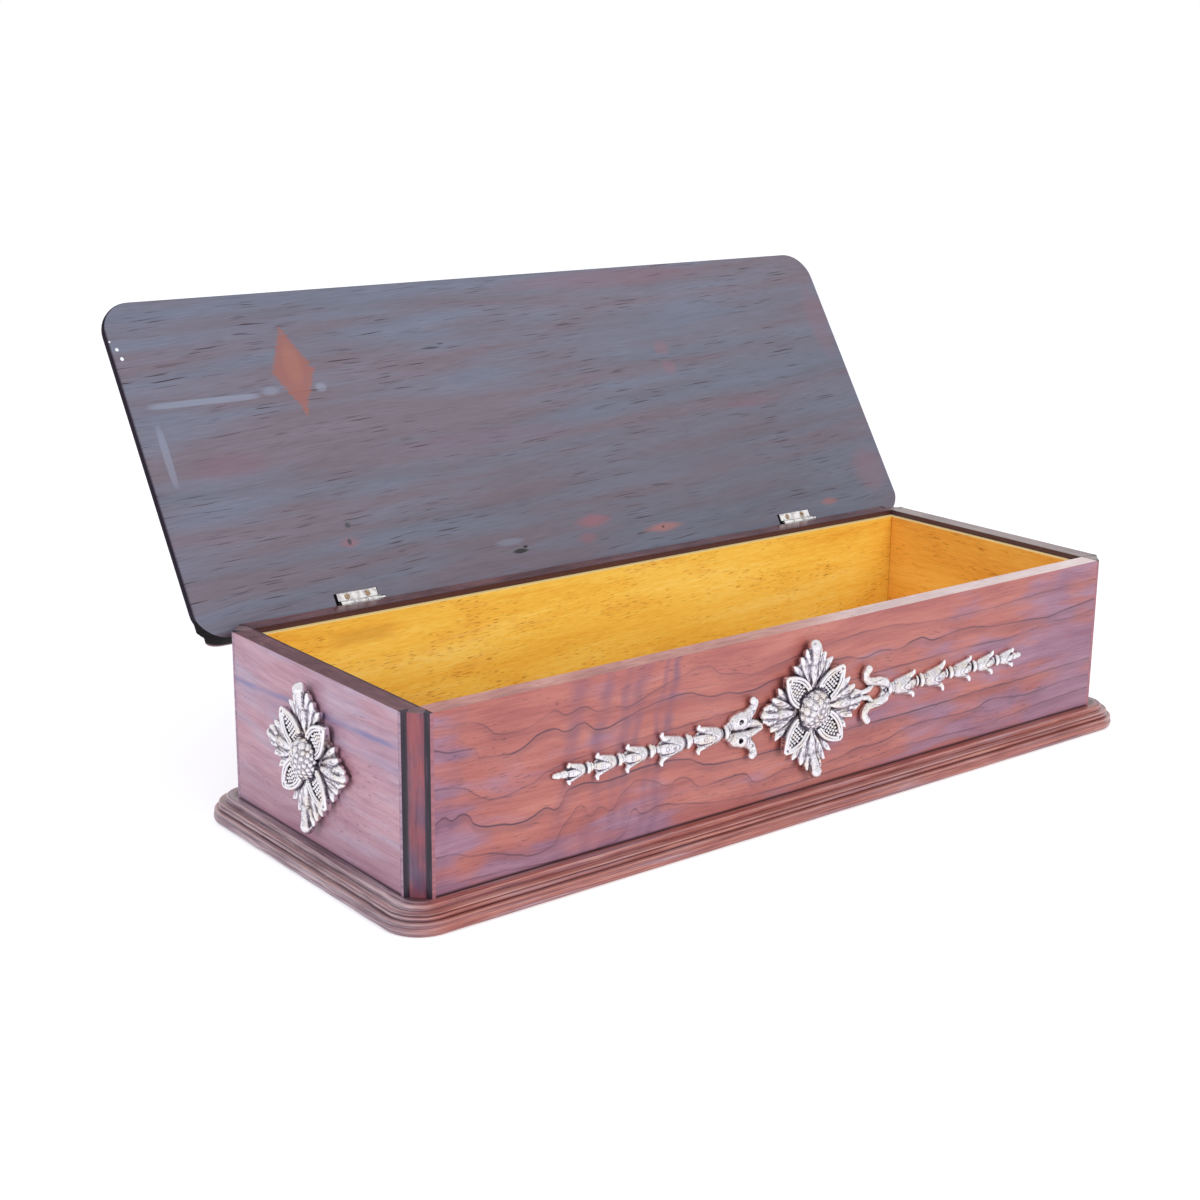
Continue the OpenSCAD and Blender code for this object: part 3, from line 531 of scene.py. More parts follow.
# How the front passes from red-orange (0) to purple-brown (1) along its length.
FRONT_DRIFT = [(-190, 0.95), (-165, 0.75), (-145, 0.42), (-120, 0.42), (-90, 0.50), (-60, 0.32), (-20, 0.22),
               (20, 0.28), (60, 0.48), (110, 0.60), (150, 0.78), (190, 1.0)]


SHADE_INSIDE = "#34181F"     # painted shade on the walls' inner faces above the lining


def end_shade(tree, colour, wood):
    """The ends are darker and more violet towards the foot, and their inner faces above the lining carry
    painted shade.
    """
    face = CASE_L / 2 - WALL_T
    inner = add(tree, "Math", [wood["deep"]], operation="ABSOLUTE")
    inner = add(tree, "MapRange", [inner, face + 0.4, face + 1.2, 0.9, 0.0])
    colour = add(tree, "Mix", {0: inner, 6: colour, 7: linear(SHADE_INSIDE)}, out=2, data_type="RGBA")
    low = add(tree, "MapRange", [wood["across"], 12.0, 40.0, 0.30, 0.0], interpolation_type="SMOOTHSTEP")
    return add(tree, "Mix", {0: low, 6: colour, 7: linear("#6A4C64")}, out=2, data_type="RGBA")


def back_shade(tree, colour, wood):
    """Painted shade: above its lining the back wall's inner face is darkened."""
    face = CASE_D / 2 - WALL_T
    inner = add(tree, "MapRange", [wood["deep"], face + 0.4, face + 1.2, 0.9, 0.0])
    return add(tree, "Mix", {0: inner, 6: colour, 7: linear(SHADE_INSIDE)}, out=2, data_type="RGBA")


def post_edges(tree, colour, wood):
    """The black lines beside the strings: the posts turn near black along both edges of their cants."""
    deep = add(tree, "Math", [wood["deep"]], operation="ABSOLUTE")
    across = add(tree, "Math", [wood["across"]], operation="ABSOLUTE")
    off = add(tree, "Math", [deep, across], operation="SUBTRACT")
    off = add(tree, "Math", [off, (CASE_L - CASE_D) / 2], operation="SUBTRACT")
    off = add(tree, "Math", [off], operation="ABSOLUTE")
    off = add(tree, "Math", [off, math.sqrt(0.5)], operation="MULTIPLY")
    off = add(tree, "Math", [wood["fibre"], 0.5, off], operation="MULTIPLY_ADD")
    stain = add(tree, "MapRange", [off, POST_HALF, POST_HALF + 0.4, 0.0, 0.95])
    return add(tree, "Mix", {0: stain, 6: colour, 7: linear("#1E1424")}, out=2, data_type="RGBA")


def base_wear_light_shade(tree, colour, wood):
    """Arrises and upward ledges of the mouldings pale, partly from rubbing and partly a painted highlight;
    painted shade in the quirks between them.
    """
    wear_light_shade = add(tree, "Attribute", out="Fac", attribute_name="wear_light_shade")
    # Pale ledges and arrises: partly rubbing, partly a painted highlight.
    rubbed = add(tree, "MapRange", [wear_light_shade, 0.1, 1.0, 0.0, 0.75])
    uneven = add(tree, "MapRange", [wood["patch"], 0.35, 0.6, 0.35, 1.0])
    rubbed = add(tree, "Math", [rubbed, uneven], operation="MULTIPLY")
    colour = add(tree, "Mix", {0: rubbed, 6: colour, 7: linear("#CBA096")}, out=2, data_type="RGBA")
    # Painted shade in the quirks.
    quirk_shade = add(tree, "MapRange", [wear_light_shade, -1.0, -0.1, 0.80, 0.0])
    return add(tree, "Mix", {0: quirk_shade, 6: colour, 7: linear("#42222A")}, out=2, data_type="RGBA")


front_rosewood = rosewood("front rosewood", ["#A15A56", "#AE655E", "#B86E64", "#C07A6E"],
                          ["#855870", "#90647A", "#9B6F84", "#A67B8E"], drift_to=FRONT_DRIFT, fall=0.8,
                          zone=(34, 9), figure=(0.50, 0.22, 0.28), veins=FRONT_VEINS, curls=FRONT_CURLS,
                          rim=("#B67C74", "#D39688", "#E6AE9E"), rim_painted_reflection=("#D0ACA8", "#E4C6C2", "#F0D8D2"),
                          joints=(-CASE_L, CASE_L, BASE_H))
# The ends' pale mauve tones are rosewood with a painted sheen: the white surroundings they reflect are laid
# into their colour.
end_rosewood = rosewood("end rosewood", ["#A27280", "#B2828E", "#BE8E98", "#C89AA2"],
                        ["#8E7288", "#A08496", "#AE92A4", "#BAA0B0"], order="YZX", seed=11, share=0.62,
                        zone=(80, 9), pores=0.7, fall=-0.5, veins=END_VEINS, vein="#746C96",
                        rim=("#5C3A3E", "#744E50", "#8A6462"), joints=(-END_JOINT, END_JOINT, BASE_H),
                        marks=end_shade)
back_rosewood = rosewood("back rosewood", ["#7E454A", "#96565A", "#A9685F", "#B8776C"],
                         ["#6A4252", "#835566", "#976773", "#A97B83"], seed=23,
                         rim=("#4C2A2E", "#663E40", "#7E5452"), joints=(-BACK_JOINT, BACK_JOINT, BASE_H),
                         marks=back_shade)
post_rosewood = rosewood("post rosewood", ["#743C48", "#844650", "#944E52", "#A25856"],
                         ["#4A364C", "#564058", "#624A62", "#6E566C"], order="ZYX", seed=31, zone=(17, 6),
                         share=0.62, pores=0.3, sway=0.4, rim=("#5A3E40", "#765658", "#8E706C"),
                         marks=post_edges)
base_rosewood = rosewood("base rosewood", ["#6A3A3A", "#96544E", "#AE6A60", "#CA8C78"],
                         ["#644450", "#8A646E", "#A27E88", "#BCA0A4"], order="moulding", seed=41,
                         zone=(70, 2.0), fine=0.55, figure=(0.15, 0.6, 0.25), share=0.45, sway=0.15,
                         end_sheen=("#5E4C56", "#94828C", "#BEB0B4"), shine=0.32, pore=(6, 0.35), marks=base_wear_light_shade)

# Marks on the lid's inner face: place along and up, half-sizes, colour, strength, softness, and the power that
# makes its outline: 2 an ellipse, 1 a lozenge. A lozenge where an escutcheon lay, scratches, bruises, knots
# and chips.
LID_MARKS = [
    (-114, 105.2, 10.2, 20.5, "#985E54", 0.80, 0.14, 1.0), (-113.5, 108, 5.0, 11, "#A6705E", 0.4, 0.8, 2.0),
    (-157, 96.0, 26, 1.5, "#8F97AB", 0.6, 0.8, 5.0), (-127, 97.5, 5, 2.4, "#8E98AC", 0.45, 0.95, 2.0),
    (-103.9, 96.9, 3.4, 2.4, "#96A0B4", 0.5, 0.95, 2.0), (-179.4, 75, 1.9, 15, "#8E94A8", 0.5, 0.9, 3.0),
    (-114.1, 29, 7.5, 3.6, "#94606C", 0.6, 0.9, 1.2), (-114.1, 29.6, 1.1, 1.6, "#30383E", 0.8, 0.5, 2.0),
    (-112.5, 36.5, 1.8, 1.6, "#2E363E", 0.7, 0.6, 1.5), (5.9, 21.2, 13, 4.4, "#965E68", 0.6, 0.95, 1.5),
    (0.2, 14, 7, 3.6, "#8A5A64", 0.5, 0.9, 1.5), (42.2, 13, 15, 3.0, "#A46C68", 0.75, 0.95, 1.4),
    (42.2, 13.2, 0.8, 0.7, "#4A2226", 0.9, 0.5, 2.0), (144.3, 11.4, 8, 2.6, "#A06460", 0.6, 0.95, 1.4),
    (78, 98.3, 4.6, 4.0, "#8C6470", 0.4, 0.98, 3.0), (78.5, 88.4, 4.6, 4.0, "#8C6470", 0.4, 0.98, 3.0),
    (-36, 13.5, 4.6, 1.4, "#0E0F12", 0.95, 0.5, 1.4), (-33, 15.0, 1.6, 0.8, "#0E0F12", 0.95, 0.4, 1.4),
    (-40, 18.2, 9, 2.0, "#838DA1", 0.45, 0.9, 2.0), (-188.2, 124.8, 0.5, 0.5, "#F4F6FA", 1.0, 0.5, 2.0),
    (-186.1, 121.2, 0.8, 0.8, "#F4F6FA", 1.0, 0.5, 2.0), (-185.2, 117.2, 0.8, 0.9, "#F4F6FA", 1.0, 0.5, 2.0),
    (-46, 109.5, 7, 0.8, "#24242C", 0.7, 0.6, 1.2), (-40.5, 111, 2.5, 0.7, "#24242C", 0.6, 0.6, 1.2),
    (178, 24, 14, 15, "#86606C", 0.4, 0.98, 2.0), (182, 105, 9, 26, "#80606E", 0.4, 0.98, 2.0),
    (-155, 68, 24, 8, "#7C5866", 0.35, 0.98, 2.0), (60, 136, 70, 6, "#84606E", 0.4, 0.98, 2.0),
    (118, 66, 26, 3.5, "#7C5666", 0.4, 0.98, 1.4), (-30, 66, 60, 5, "#765468", 0.25, 0.98, 2.0),
]
LID_SIDE = (9.0, 10.6)      # depths in the board between which its moulded edge passes into the outer face
LID_LEFT = -188.5           # left end of the lid's inner face


def lid_wear(tree, colour, wood):
    """Darkens the lid towards its lower right, lays the marks on its inner face and browns its foot. Its
    moulded edge is painted near black as shade and made matt, a narrow band at the left end of its inner
    face gets painted shade too, and its outer face was polished like the walls."""
    shade = add(tree, "Math", [wood["along"], 0.00125], operation="MULTIPLY")
    shade = add(tree, "Math", [wood["across"], -0.004, shade], operation="MULTIPLY_ADD")
    shade = add(tree, "MapRange", [shade, -0.5, 0.15, 0.0, 0.30], interpolation_type="SMOOTHSTEP")
    colour = add(tree, "Mix", {0: shade, 6: colour, 7: linear("#3F3640")}, out=2, data_type="RGBA")
    thick = add(tree, "Math", [wood["deep"]], operation="ABSOLUTE")
    inner = add(tree, "MapRange", [thick, 0.6, 1.6, 1.0, 0.0])
    ragged = add(tree, "Math", [wood["streak"], 0.5], operation="MULTIPLY")
    ragged = add(tree, "Math", [wood["fibre"], 0.5, ragged], operation="MULTIPLY_ADD")
    ragged = add(tree, "Math", [ragged, 0.5], operation="SUBTRACT")
    for x, up, half_x, half_up, tint, strength, soft, power in LID_MARKS:
        parts = []
        for place_on_lid, middle, half in ((wood["along"], x, half_x), (wood["across"], up, half_up)):
            part = add(tree, "Math", [place_on_lid, middle], operation="SUBTRACT")
            part = add(tree, "Math", [part, half], operation="DIVIDE")
            part = add(tree, "Math", [part], operation="ABSOLUTE")
            parts.append(add(tree, "Math", [part, power], operation="POWER"))
        far = add(tree, "Math", parts, operation="ADD")
        far = add(tree, "Math", [far, ragged], operation="ADD")
        mark = add(tree, "MapRange", [far, 1 - soft, 1.0, strength, 0.0], interpolation_type="SMOOTHSTEP")
        mark = add(tree, "Math", [mark, inner], operation="MULTIPLY")
        colour = add(tree, "Mix", {0: mark, 6: colour, 7: linear(tint)}, out=2, data_type="RGBA")
    foot = add(tree, "Math", [wood["streak"], 2.0, wood["across"]], operation="MULTIPLY_ADD")
    foot = add(tree, "MapRange", [foot, 1.4, 3.4, 0.85, 0.0], interpolation_type="SMOOTHSTEP")
    colour = add(tree, "Mix", {0: foot, 6: colour, 7: linear("#5A343A")}, out=2, data_type="RGBA")
    polished = add(tree, "ValToRGB", [wood["streak"]],
                   stops=[(0.36, "#6A3C40"), (0.50, "#8A5450"), (0.64, "#A66E66")])
    outer = add(tree, "MapRange", [thick, *LID_SIDE, 0.0, 0.85])
    colour = add(tree, "Mix", {0: outer, 6: colour, 7: polished}, out=2, data_type="RGBA")
    # Painted shade: the moulded edge turns near black, and matt.
    side = add(tree, "MapRange", [thick, 0.08, 0.4, 0.0, 1.0])
    not_outer = add(tree, "MapRange", [thick, *LID_SIDE, 1.0, 0.0])
    side = add(tree, "Math", [side, not_outer], operation="MULTIPLY")
    wood["matt"] = side
    colour = add(tree, "Mix", {0: side, 6: colour, 7: linear("#120C10")}, out=2, data_type="RGBA")
    # Painted shade: a narrow near-black band along the left end of the inner face.
    end = add(tree, "Math", [wood["fibre"], 0.6, wood["along"]], operation="MULTIPLY_ADD")
    end = add(tree, "MapRange", [end, LID_LEFT, LID_LEFT + 0.9, 0.9, 0.0], interpolation_type="SMOOTHSTEP")
    return add(tree, "Mix", {0: end, 6: colour, 7: linear("#241C28")}, out=2, data_type="RGBA")


# The lid's slate grey-blue tones are dark rosewood with a painted sheen: the haze of the white surroundings
# that it reflects is laid into its colour.
lid_rosewood = rosewood("lid rosewood", ["#695F6A", "#706672", "#766C7A", "#7C7280"],
                        ["#606575", "#676C7D", "#6D7284", "#73798B"], order="XYZ", tilt=LID_TILT, seed=53,
                        zone=(240, 15), patch=(70, 7), share=0.72, vein="#4A4452", sway=0.5, rise=0.05,
                        figure=(0.35, 0.30, 0.35), pores=1.5, pore=(20, 0.6), fine=1.0, shine=0.40,
                        marks=lid_wear)


def satinwood(name, tones, order="XZY", seed=0.0, stain=None, lean=0.0):
    """Thin satinwood lining boards, planed and left with one coat of shellac: clear yellow, orange streaks
    along the grain, short brown flecks where the plane opened the figure, a painted top-edge highlight and old
    stains."""
    material, tree = start_finish(name)
    along, across, deep = grain_space(tree, order)
    leaning = add(tree, "Math", [along, lean, across], operation="MULTIPLY_ADD")
    where = add(tree, "CombineXYZ", [along, leaning, deep])
    wood = wood_patterns(tree, where, (("zone", (120, 16, 30), 1.0), ("streak", (40, 2.2, 6), 2.0),
                                       ("fibre", (7, 0.5, 3), 1.0), ("fleck", (4.6, 0.5, 1.5), 1.0),
                                       ("cloud", (22, 9, 20), 2.0)), seed)
    light = add(tree, "Math", [wood["fibre"], 0.30], operation="MULTIPLY")
    light = add(tree, "Math", [wood["streak"], 0.25, light], operation="MULTIPLY_ADD")
    light = add(tree, "Math", [wood["zone"], 0.45, light], operation="MULTIPLY_ADD")
    colour = add(tree, "ValToRGB", [light], stops=list(zip(np.linspace(0.36, 0.62, len(tones)), tones)))
    amber = add(tree, "MapRange", [wood["cloud"], 0.55, 0.72, 0.0, 0.5])
    streaky = add(tree, "MapRange", [wood["streak"], 0.45, 0.6, 0.3, 1.0])
    amber = add(tree, "Math", [amber, streaky], operation="MULTIPLY")
    colour = add(tree, "Mix", {0: amber, 6: colour, 7: linear("#D8862A")}, out=2, data_type="RGBA")
    fleck = add(tree, "MapRange", [wood["fleck"], 0.59, 0.68, 0.0, 0.85])
    crowd = add(tree, "MapRange", [wood["cloud"], 0.42, 0.60, 0.1, 1.0])
    fleck = add(tree, "Math", [fleck, crowd], operation="MULTIPLY")
    colour = add(tree, "Mix", {0: fleck, 6: colour, 7: linear("#B0701F")}, out=2, data_type="RGBA")
    if stain:
        x, up, half_x, half_up = stain
        parts = []
        for place_on_board, middle, half in ((along, x, half_x), (across, up, half_up)):
            part = add(tree, "Math", [place_on_board, middle], operation="SUBTRACT")
            part = add(tree, "Math", [part, half], operation="DIVIDE")
            parts.append(add(tree, "Math", [part], operation="ABSOLUTE"))
        far = add(tree, "Math", parts, operation="MAXIMUM")
        ragged = add(tree, "Math", [wood["cloud"], 0.5], operation="SUBTRACT")
        far = add(tree, "Math", [far, ragged], operation="ADD")
        brown = add(tree, "MapRange", [far, 0.3, 1.0, 0.35, 0.0])
        colour = add(tree, "Mix", {0: brown, 6: colour, 7: linear("#B8742C")}, out=2, data_type="RGBA")
    # Painted highlight: upward faces, the top edges, turn pale.
    upward = add(tree, "SeparateXYZ", [add(tree, "TexCoord", out="Normal")], out="Z")
    painted_top_highlight = add(tree, "MapRange", [upward, 0.3, 0.8, 0.0, 0.8])
    colour = add(tree, "Mix", {0: painted_top_highlight, 6: colour, 7: linear("#F6DC9C")}, out=2, data_type="RGBA")
    bump = add(tree, "Bump", {"Strength": 0.12, "Distance": 0.1 * MM, "Height": wood["fibre"]})
    shader = add(tree, "BsdfPrincipled", {"Base Color": colour, "Roughness": 0.48, "IOR": 1.48, "Normal": bump})
    add(tree, "OutputMaterial", {"Surface": shader}, out=None)
    return material


long_lining = satinwood("long lining satinwood", ["#E8A83A", "#F0BA46", "#F5C650", "#F9D05E", "#FBD974"],
                        stain=(-125, 66, 17, 3.4), lean=-0.03)
end_lining = satinwood("end lining satinwood", ["#E0923A", "#E8A040", "#EEAA44", "#F2B44C", "#F6BE58"],
                       order="YZX", seed=7)


def ebony(name):
    """Ebony stringing, scraped flush: near black with violet-brown streaks and a soft sheen. Its faces that
    lie in a wall's own face have the wall's colour, so that the black line shows on the cant alone."""
    material, tree = start_finish(name)
    where = add(tree, "CombineXYZ", grain_space(tree, "ZXY"))
    size = add(tree, "Mapping", {"Vector": where, "Scale": (1 / 14, 1 / 0.9, 1 / 0.9)})
    streak = add(tree, "TexNoise", {"Vector": size, "Scale": 1.0, "Detail": 4.0})
    colour = add(tree, "ValToRGB", [streak], stops=[(0.35, "#150D1A"), (0.58, "#241827"), (0.72, "#4C3C4C")])
    growth = add(tree, "Mapping", {"Vector": where, "Scale": (1 / 1.6, 1 / 30, 1 / 30)})
    growth = add(tree, "TexNoise", {"Vector": growth, "Scale": 1.0, "Detail": 2.0})
    facing = add(tree, "SeparateXYZ", [add(tree, "TexCoord", out="Normal")], out=None)
    for side, tones in (("X", ("#8E7084", "#B08C9C")), ("Y", ("#96626C", "#A86E76"))):
        wall = add(tree, "ValToRGB", [growth], stops=list(zip((0.42, 0.58), tones)))
        in_wall = add(tree, "Math", [facing[side]], operation="ABSOLUTE")
        in_wall = add(tree, "MapRange", [in_wall, 0.94, 0.98, 0.0, 1.0])
        colour = add(tree, "Mix", {0: in_wall, 6: colour, 7: wall}, out=2, data_type="RGBA")
    bump = add(tree, "Bump", {"Strength": 0.2, "Distance": 0.1 * MM, "Height": streak})
    shader = add(tree, "BsdfPrincipled", {"Base Color": colour, "Roughness": 0.5, "Normal": bump})
    add(tree, "OutputMaterial", {"Surface": shader}, out=None)
    return material


def cast_silver(name):
    """Silver plate over cast brass, chased, patinated and rubbed bright: white on the high places,
    grey on the flats and darker in the hollows, partly grey-violet sulphide and partly painted shade, a trace
    of warm brass where the plate is thin."""
    material, tree = start_finish(name)
    where = millimetres(tree)
    grime = add(tree, "TexNoise", {"Vector": where, "Scale": 1 / 1.4, "Detail": 2.0})
    warm = add(tree, "TexNoise", {"Vector": where, "Scale": 1 / 5.0, "Detail": 1.0})
    hollow = add(tree, "Attribute", out="Fac", attribute_name="hollow")
    # Sulphide patina and painted shade: the deeper in a hollow, the darker; flats grey, high places white.
    dark = add(tree, "Math", [grime, 0.05, hollow], operation="MULTIPLY_ADD")
    colour = add(tree, "ValToRGB", [dark], stops=[(0.38, "#EAE7EB"), (0.50, "#CBC6CD"), (0.61, "#9C959F"),
                                                  (0.74, "#746C79"), (0.90, "#524A56")])
    tint = add(tree, "ValToRGB", [warm], stops=[(0.50, "#FFFFFF"), (0.70, "#FFF9EC")])
    colour = add(tree, "Mix", {0: 1.0, 6: colour, 7: tint}, out=2, data_type="RGBA", blend_type="MULTIPLY")
    rough = add(tree, "MapRange", [dark, 0.4, 0.9, 0.30, 0.6])
    bump = add(tree, "Bump", {"Strength": 0.04, "Distance": 0.1 * MM, "Height": grime})
    shader = add(tree, "BsdfPrincipled", {"Base Color": colour, "Metallic": 1.0, "Roughness": rough,
                                          "Normal": bump})
    add(tree, "OutputMaterial", {"Surface": shader}, out=None)
    return material


def rubbed_metal(name, bright, dull, rough, scale):
    """Small turned or rolled brassware, handled for years: bright with dull blotches. The scale is their
    size in millimetres."""
    material, tree = start_finish(name)
    blotch = add(tree, "TexNoise", {"Vector": millimetres(tree), "Scale": 1 / scale, "Detail": 4.0})
    colour = add(tree, "ValToRGB", [blotch], stops=[(0.38, dull), (0.56, bright)])
    bump = add(tree, "Bump", {"Strength": 0.2, "Distance": 0.1 * MM, "Height": blotch})
    shader = add(tree, "BsdfPrincipled", {"Base Color": colour, "Metallic": 1.0, "Roughness": rough,
                                          "Normal": bump})
    add(tree, "OutputMaterial", {"Surface": shader}, out=None)
    return material


ebony_string = ebony("ebony string")
silver = cast_silver("cast silver plate")
nickel = rubbed_metal("nickelled hinge brass", "#F0EEEC", "#C6C2C4", 0.34, 2.4)
brass = rubbed_metal("screw brass", "#C0A88C", "#7E6A5A", 0.4, 0.7)
pin_brass = rubbed_metal("tarnished pin brass", "#6A5A52", "#3E3438", 0.5, 0.6)

# Pieces that keep their CAD shape

WALLS = ["front_wall", "back_wall", "left_wall", "right_wall"]
POSTS = ["post_front_left", "post_front_right", "post_back_left", "post_back_right"]
LONG_BOARDS = ["lining_front", "lining_back", "floor_panel"]
END_BOARDS = ["lining_left", "lining_right"]
LEAVES = ["left_box_leaf", "left_lid_leaf", "right_box_leaf", "right_lid_leaf"]
for finish, names in ((front_rosewood, WALLS[:1]), (back_rosewood, WALLS[1:2]), (end_rosewood, WALLS[2:]),
                      (post_rosewood, POSTS), (ebony_string, ["corner_strings"]), (long_lining, LONG_BOARDS),
                      (end_lining, END_BOARDS), (lid_rosewood, ["lid_board"]),
                      (nickel, LEAVES + ["left_hinge_pin", "right_hinge_pin"]),
                      (brass, ["box_leaf_screws", "lid_leaf_screws"]), (pin_brass, ["mount_pins"])):
    for name in names:
        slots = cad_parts[name].data.materials
        if not slots:
            slots.append(finish)
        for number in range(len(slots)):
            slots[number] = finish
for names, width, segments in ((WALLS, 0.5, 2), (POSTS, 0.3, 2), (LONG_BOARDS + END_BOARDS, 0.5, 2),
                               (LEAVES, 0.08, 1)):
    for name in names:
        ease_edges(name, width, segments)


# Silver mounts

def turned(points, degrees):
    """The same points (x, y, ...) turned round the middle of the rosette."""
    c, s = math.cos(math.radians(degrees)), math.sin(math.radians(degrees))
    return [(x * c - y * s, x * s + y * c, *rest) for x, y, *rest in points]


def outward(degrees):
    """A function of x and y: how far out a place lies along a leaf that is turned by so much."""
    c, s = math.cos(math.radians(degrees)), math.sin(math.radians(degrees))
    return lambda x, y: -x * s + y * c


def whole_outline(half, tip):
    """A closed outline from its right half and the place on the axis where the halves meet."""
    return half + [(0, tip)] + [(-x, y) for x, y in half[::-1]]


def ball(x, y, z, radius):
    """A rod so short that it is a ball."""
    return [(x, y, z, radius), (x, y + 0.02, z, radius)]


# Half outline of an acanthus leaf that points along +Y, with its scallops.
LEAF = [(2.6, 6.5), (5.4, 9.4), (8.6, 11.4), (10.4, 12.4), (10.4, 13.6), (8.9, 14.5), (8.6, 15.6), (9.8, 17.2),
        (10.1, 18.8), (8.8, 18.9), (7.2, 18.4), (6.3, 19.4), (6.6, 21.4), (5.6, 21.9), (4.6, 21.6), (4.4, 22.8),
        (4.0, 24.2), (3.0, 23.9), (2.4, 25.0)]
LEAF_TIP = 25.4
# Its ridges, (across, out, height, radius) from root to curled tip, and the chased grooves between them.
LEAF_RIDGES = [
    [(0, 8, 1.2, 1.5), (0, 12, 1.9, 2.2), (0, 17, 2.3, 2.3), (0, 21, 2.9, 1.4)],
    [(1.6, 9, 0.9, 1.4), (3.4, 13, 1.6, 1.7), (4.6, 17, 2.1, 1.6), (5.6, 20.0, 2.6, 1.1),
     (6.3, 21.4, 3.0, 0.6)],
    [(3.0, 9.2, 0.8, 1.3), (5.6, 12.4, 1.4, 1.5), (7.6, 15.4, 1.9, 1.5), (9.0, 17.6, 2.4, 1.0),
     (10.0, 18.7, 2.8, 0.5)],
    [(4.2, 9.4, 0.7, 1.1), (7.0, 11.4, 1.2, 1.3), (9.0, 12.6, 1.7, 1.0), (10.3, 13.2, 2.1, 0.5)],
]
LEAF_CUTS = [
    [(1.0, 9.6, 2.9, 0.5), (1.9, 13, 3.5, 0.45), (2.2, 16, 3.9, 0.42), (3.4, 19.6, 4.1, 0.5),
     (4.4, 21.6, 3.6, 0.7)],
    [(2.5, 10.2, 2.6, 0.45), (4.7, 13.6, 3.1, 0.42), (6.0, 16.4, 3.4, 0.45), (7.2, 18.8, 3.2, 0.8)],
    [(4.2, 10.6, 2.4, 0.4), (6.8, 12.8, 2.8, 0.42), (8.6, 14.6, 2.8, 0.7)],
]
# The two kinds of curled tip: its middle, the folds beside it, the grooves beside it and one across it.
BALL_TIP = ([(0, 19.6, 2.8, 2.2), (0, 22.8, 3.4, 2.4), (0, 25.4, 3.9, 2.75)],
            [(2.4, 19.6, 2.6, 1.4), (3.2, 22.2, 3.0, 1.2), (3.5, 24.0, 3.2, 0.8)],
            [(1.5, 18.6, 4.6, 0.4), (2.2, 21.4, 4.8, 0.45), (2.9, 24.6, 4.6, 0.6)],
            [(-2.6, 23.6, 5.6, 0.5), (-0.9, 22.4, 6.4, 0.55), (0.9, 22.4, 6.4, 0.55), (2.6, 23.6, 5.6, 0.5)])
BLUNT_TIP = ([(0, 20.4, 3.0, 1.8), (0, 23.2, 3.0, 1.9), (0, 25.2, 2.6, 1.9)],
             [(2.2, 20.4, 3.0, 1.2), (2.9, 23.0, 2.8, 1.2), (2.4, 25.0, 2.6, 1.0)],
             [(1.3, 20.2, 4.6, 0.4), (1.5, 25.6, 4.2, 0.45)], None)


def acanthus(mould, turn, tip, skew):
    """One acanthus leaf along +Y: a plump scalloped plate with soft ridges and dark grooves, and a curled
    tip. The skew bends its outer half to one side."""
    def placed(points, side=1):
        """Points of a leaf, mirrored to a side, bent and turned into place."""
        bent = [(side * x + skew * max(y - 12, 0) ** 2 * 0.012, y, *rest) for x, y, *rest in points]
        return turned(bent, turn)

    out = outward(turn)
    mould.plate(placed(whole_outline(LEAF, LEAF_TIP)), lambda x, y: np.clip(out(x, y) - 15, 0, 8) * 0.16,
                lambda x, y: 2.2 + 0.10 * (out(x, y) - 8), 0.9, 0.3)
    for side in (-1, 1):
        for ridge in LEAF_RIDGES[0 if side > 0 else 1:]:
            mould.rod(placed(ridge, side), fillet=0.8, flat=0.9)
    for side in (-1, 1):
        for cut in LEAF_CUTS:
            mould.rod(placed(cut, side), fillet=0.3, sink=True)
    middle, fold, groove, cross_groove = tip
    mould.rod(placed(middle), fillet=0.5 if cross_groove else 0.4)
    for side in (-1, 1):
        mould.rod(placed(fold, side), fillet=0.4 if cross_groove else 0.3)
        mould.rod(placed(groove, side), fillet=0.2, sink=True)
    if cross_groove:
        mould.rod(placed(cross_groove), fillet=0.2, sink=True)


# Half outline of a pointed petal, and the same for the sunk field inside its double rim.
PETAL = [(3.0, 4.6), (4.7, 6.8), (5.4, 9.0), (5.6, 11.2), (5.4, 13.4), (4.8, 15.4), (3.8, 17.4), (2.5, 19.3),
         (1.1, 20.9)]
PETAL_TIP = 21.8
PETAL_FIELD = [(2.1, 6.6), (3.0, 8.6), (3.4, 10.6), (3.3, 12.6), (2.7, 14.6), (1.6, 16.4)]
FIELD_TIP = 17.8
# Room for the seeds: half-widths of the field at distances from the rosette's middle.
SEED_ROOM = ([6.4, 8.4, 10.6, 12.8, 14.8, 16.6, 17.8], [1.9, 2.8, 3.2, 3.1, 2.5, 1.4, 0.2])
SEED_ROWS, SEED_R, SEED_APART = 8, 0.66, 1.42


def petal_height(out):
    """Top of a petal's rim, in mm above the wall, at a distance from the rosette's middle."""
    return 3.55 + 0.05 * out - 0.02 * np.clip(out - 16, 0, 9) ** 2


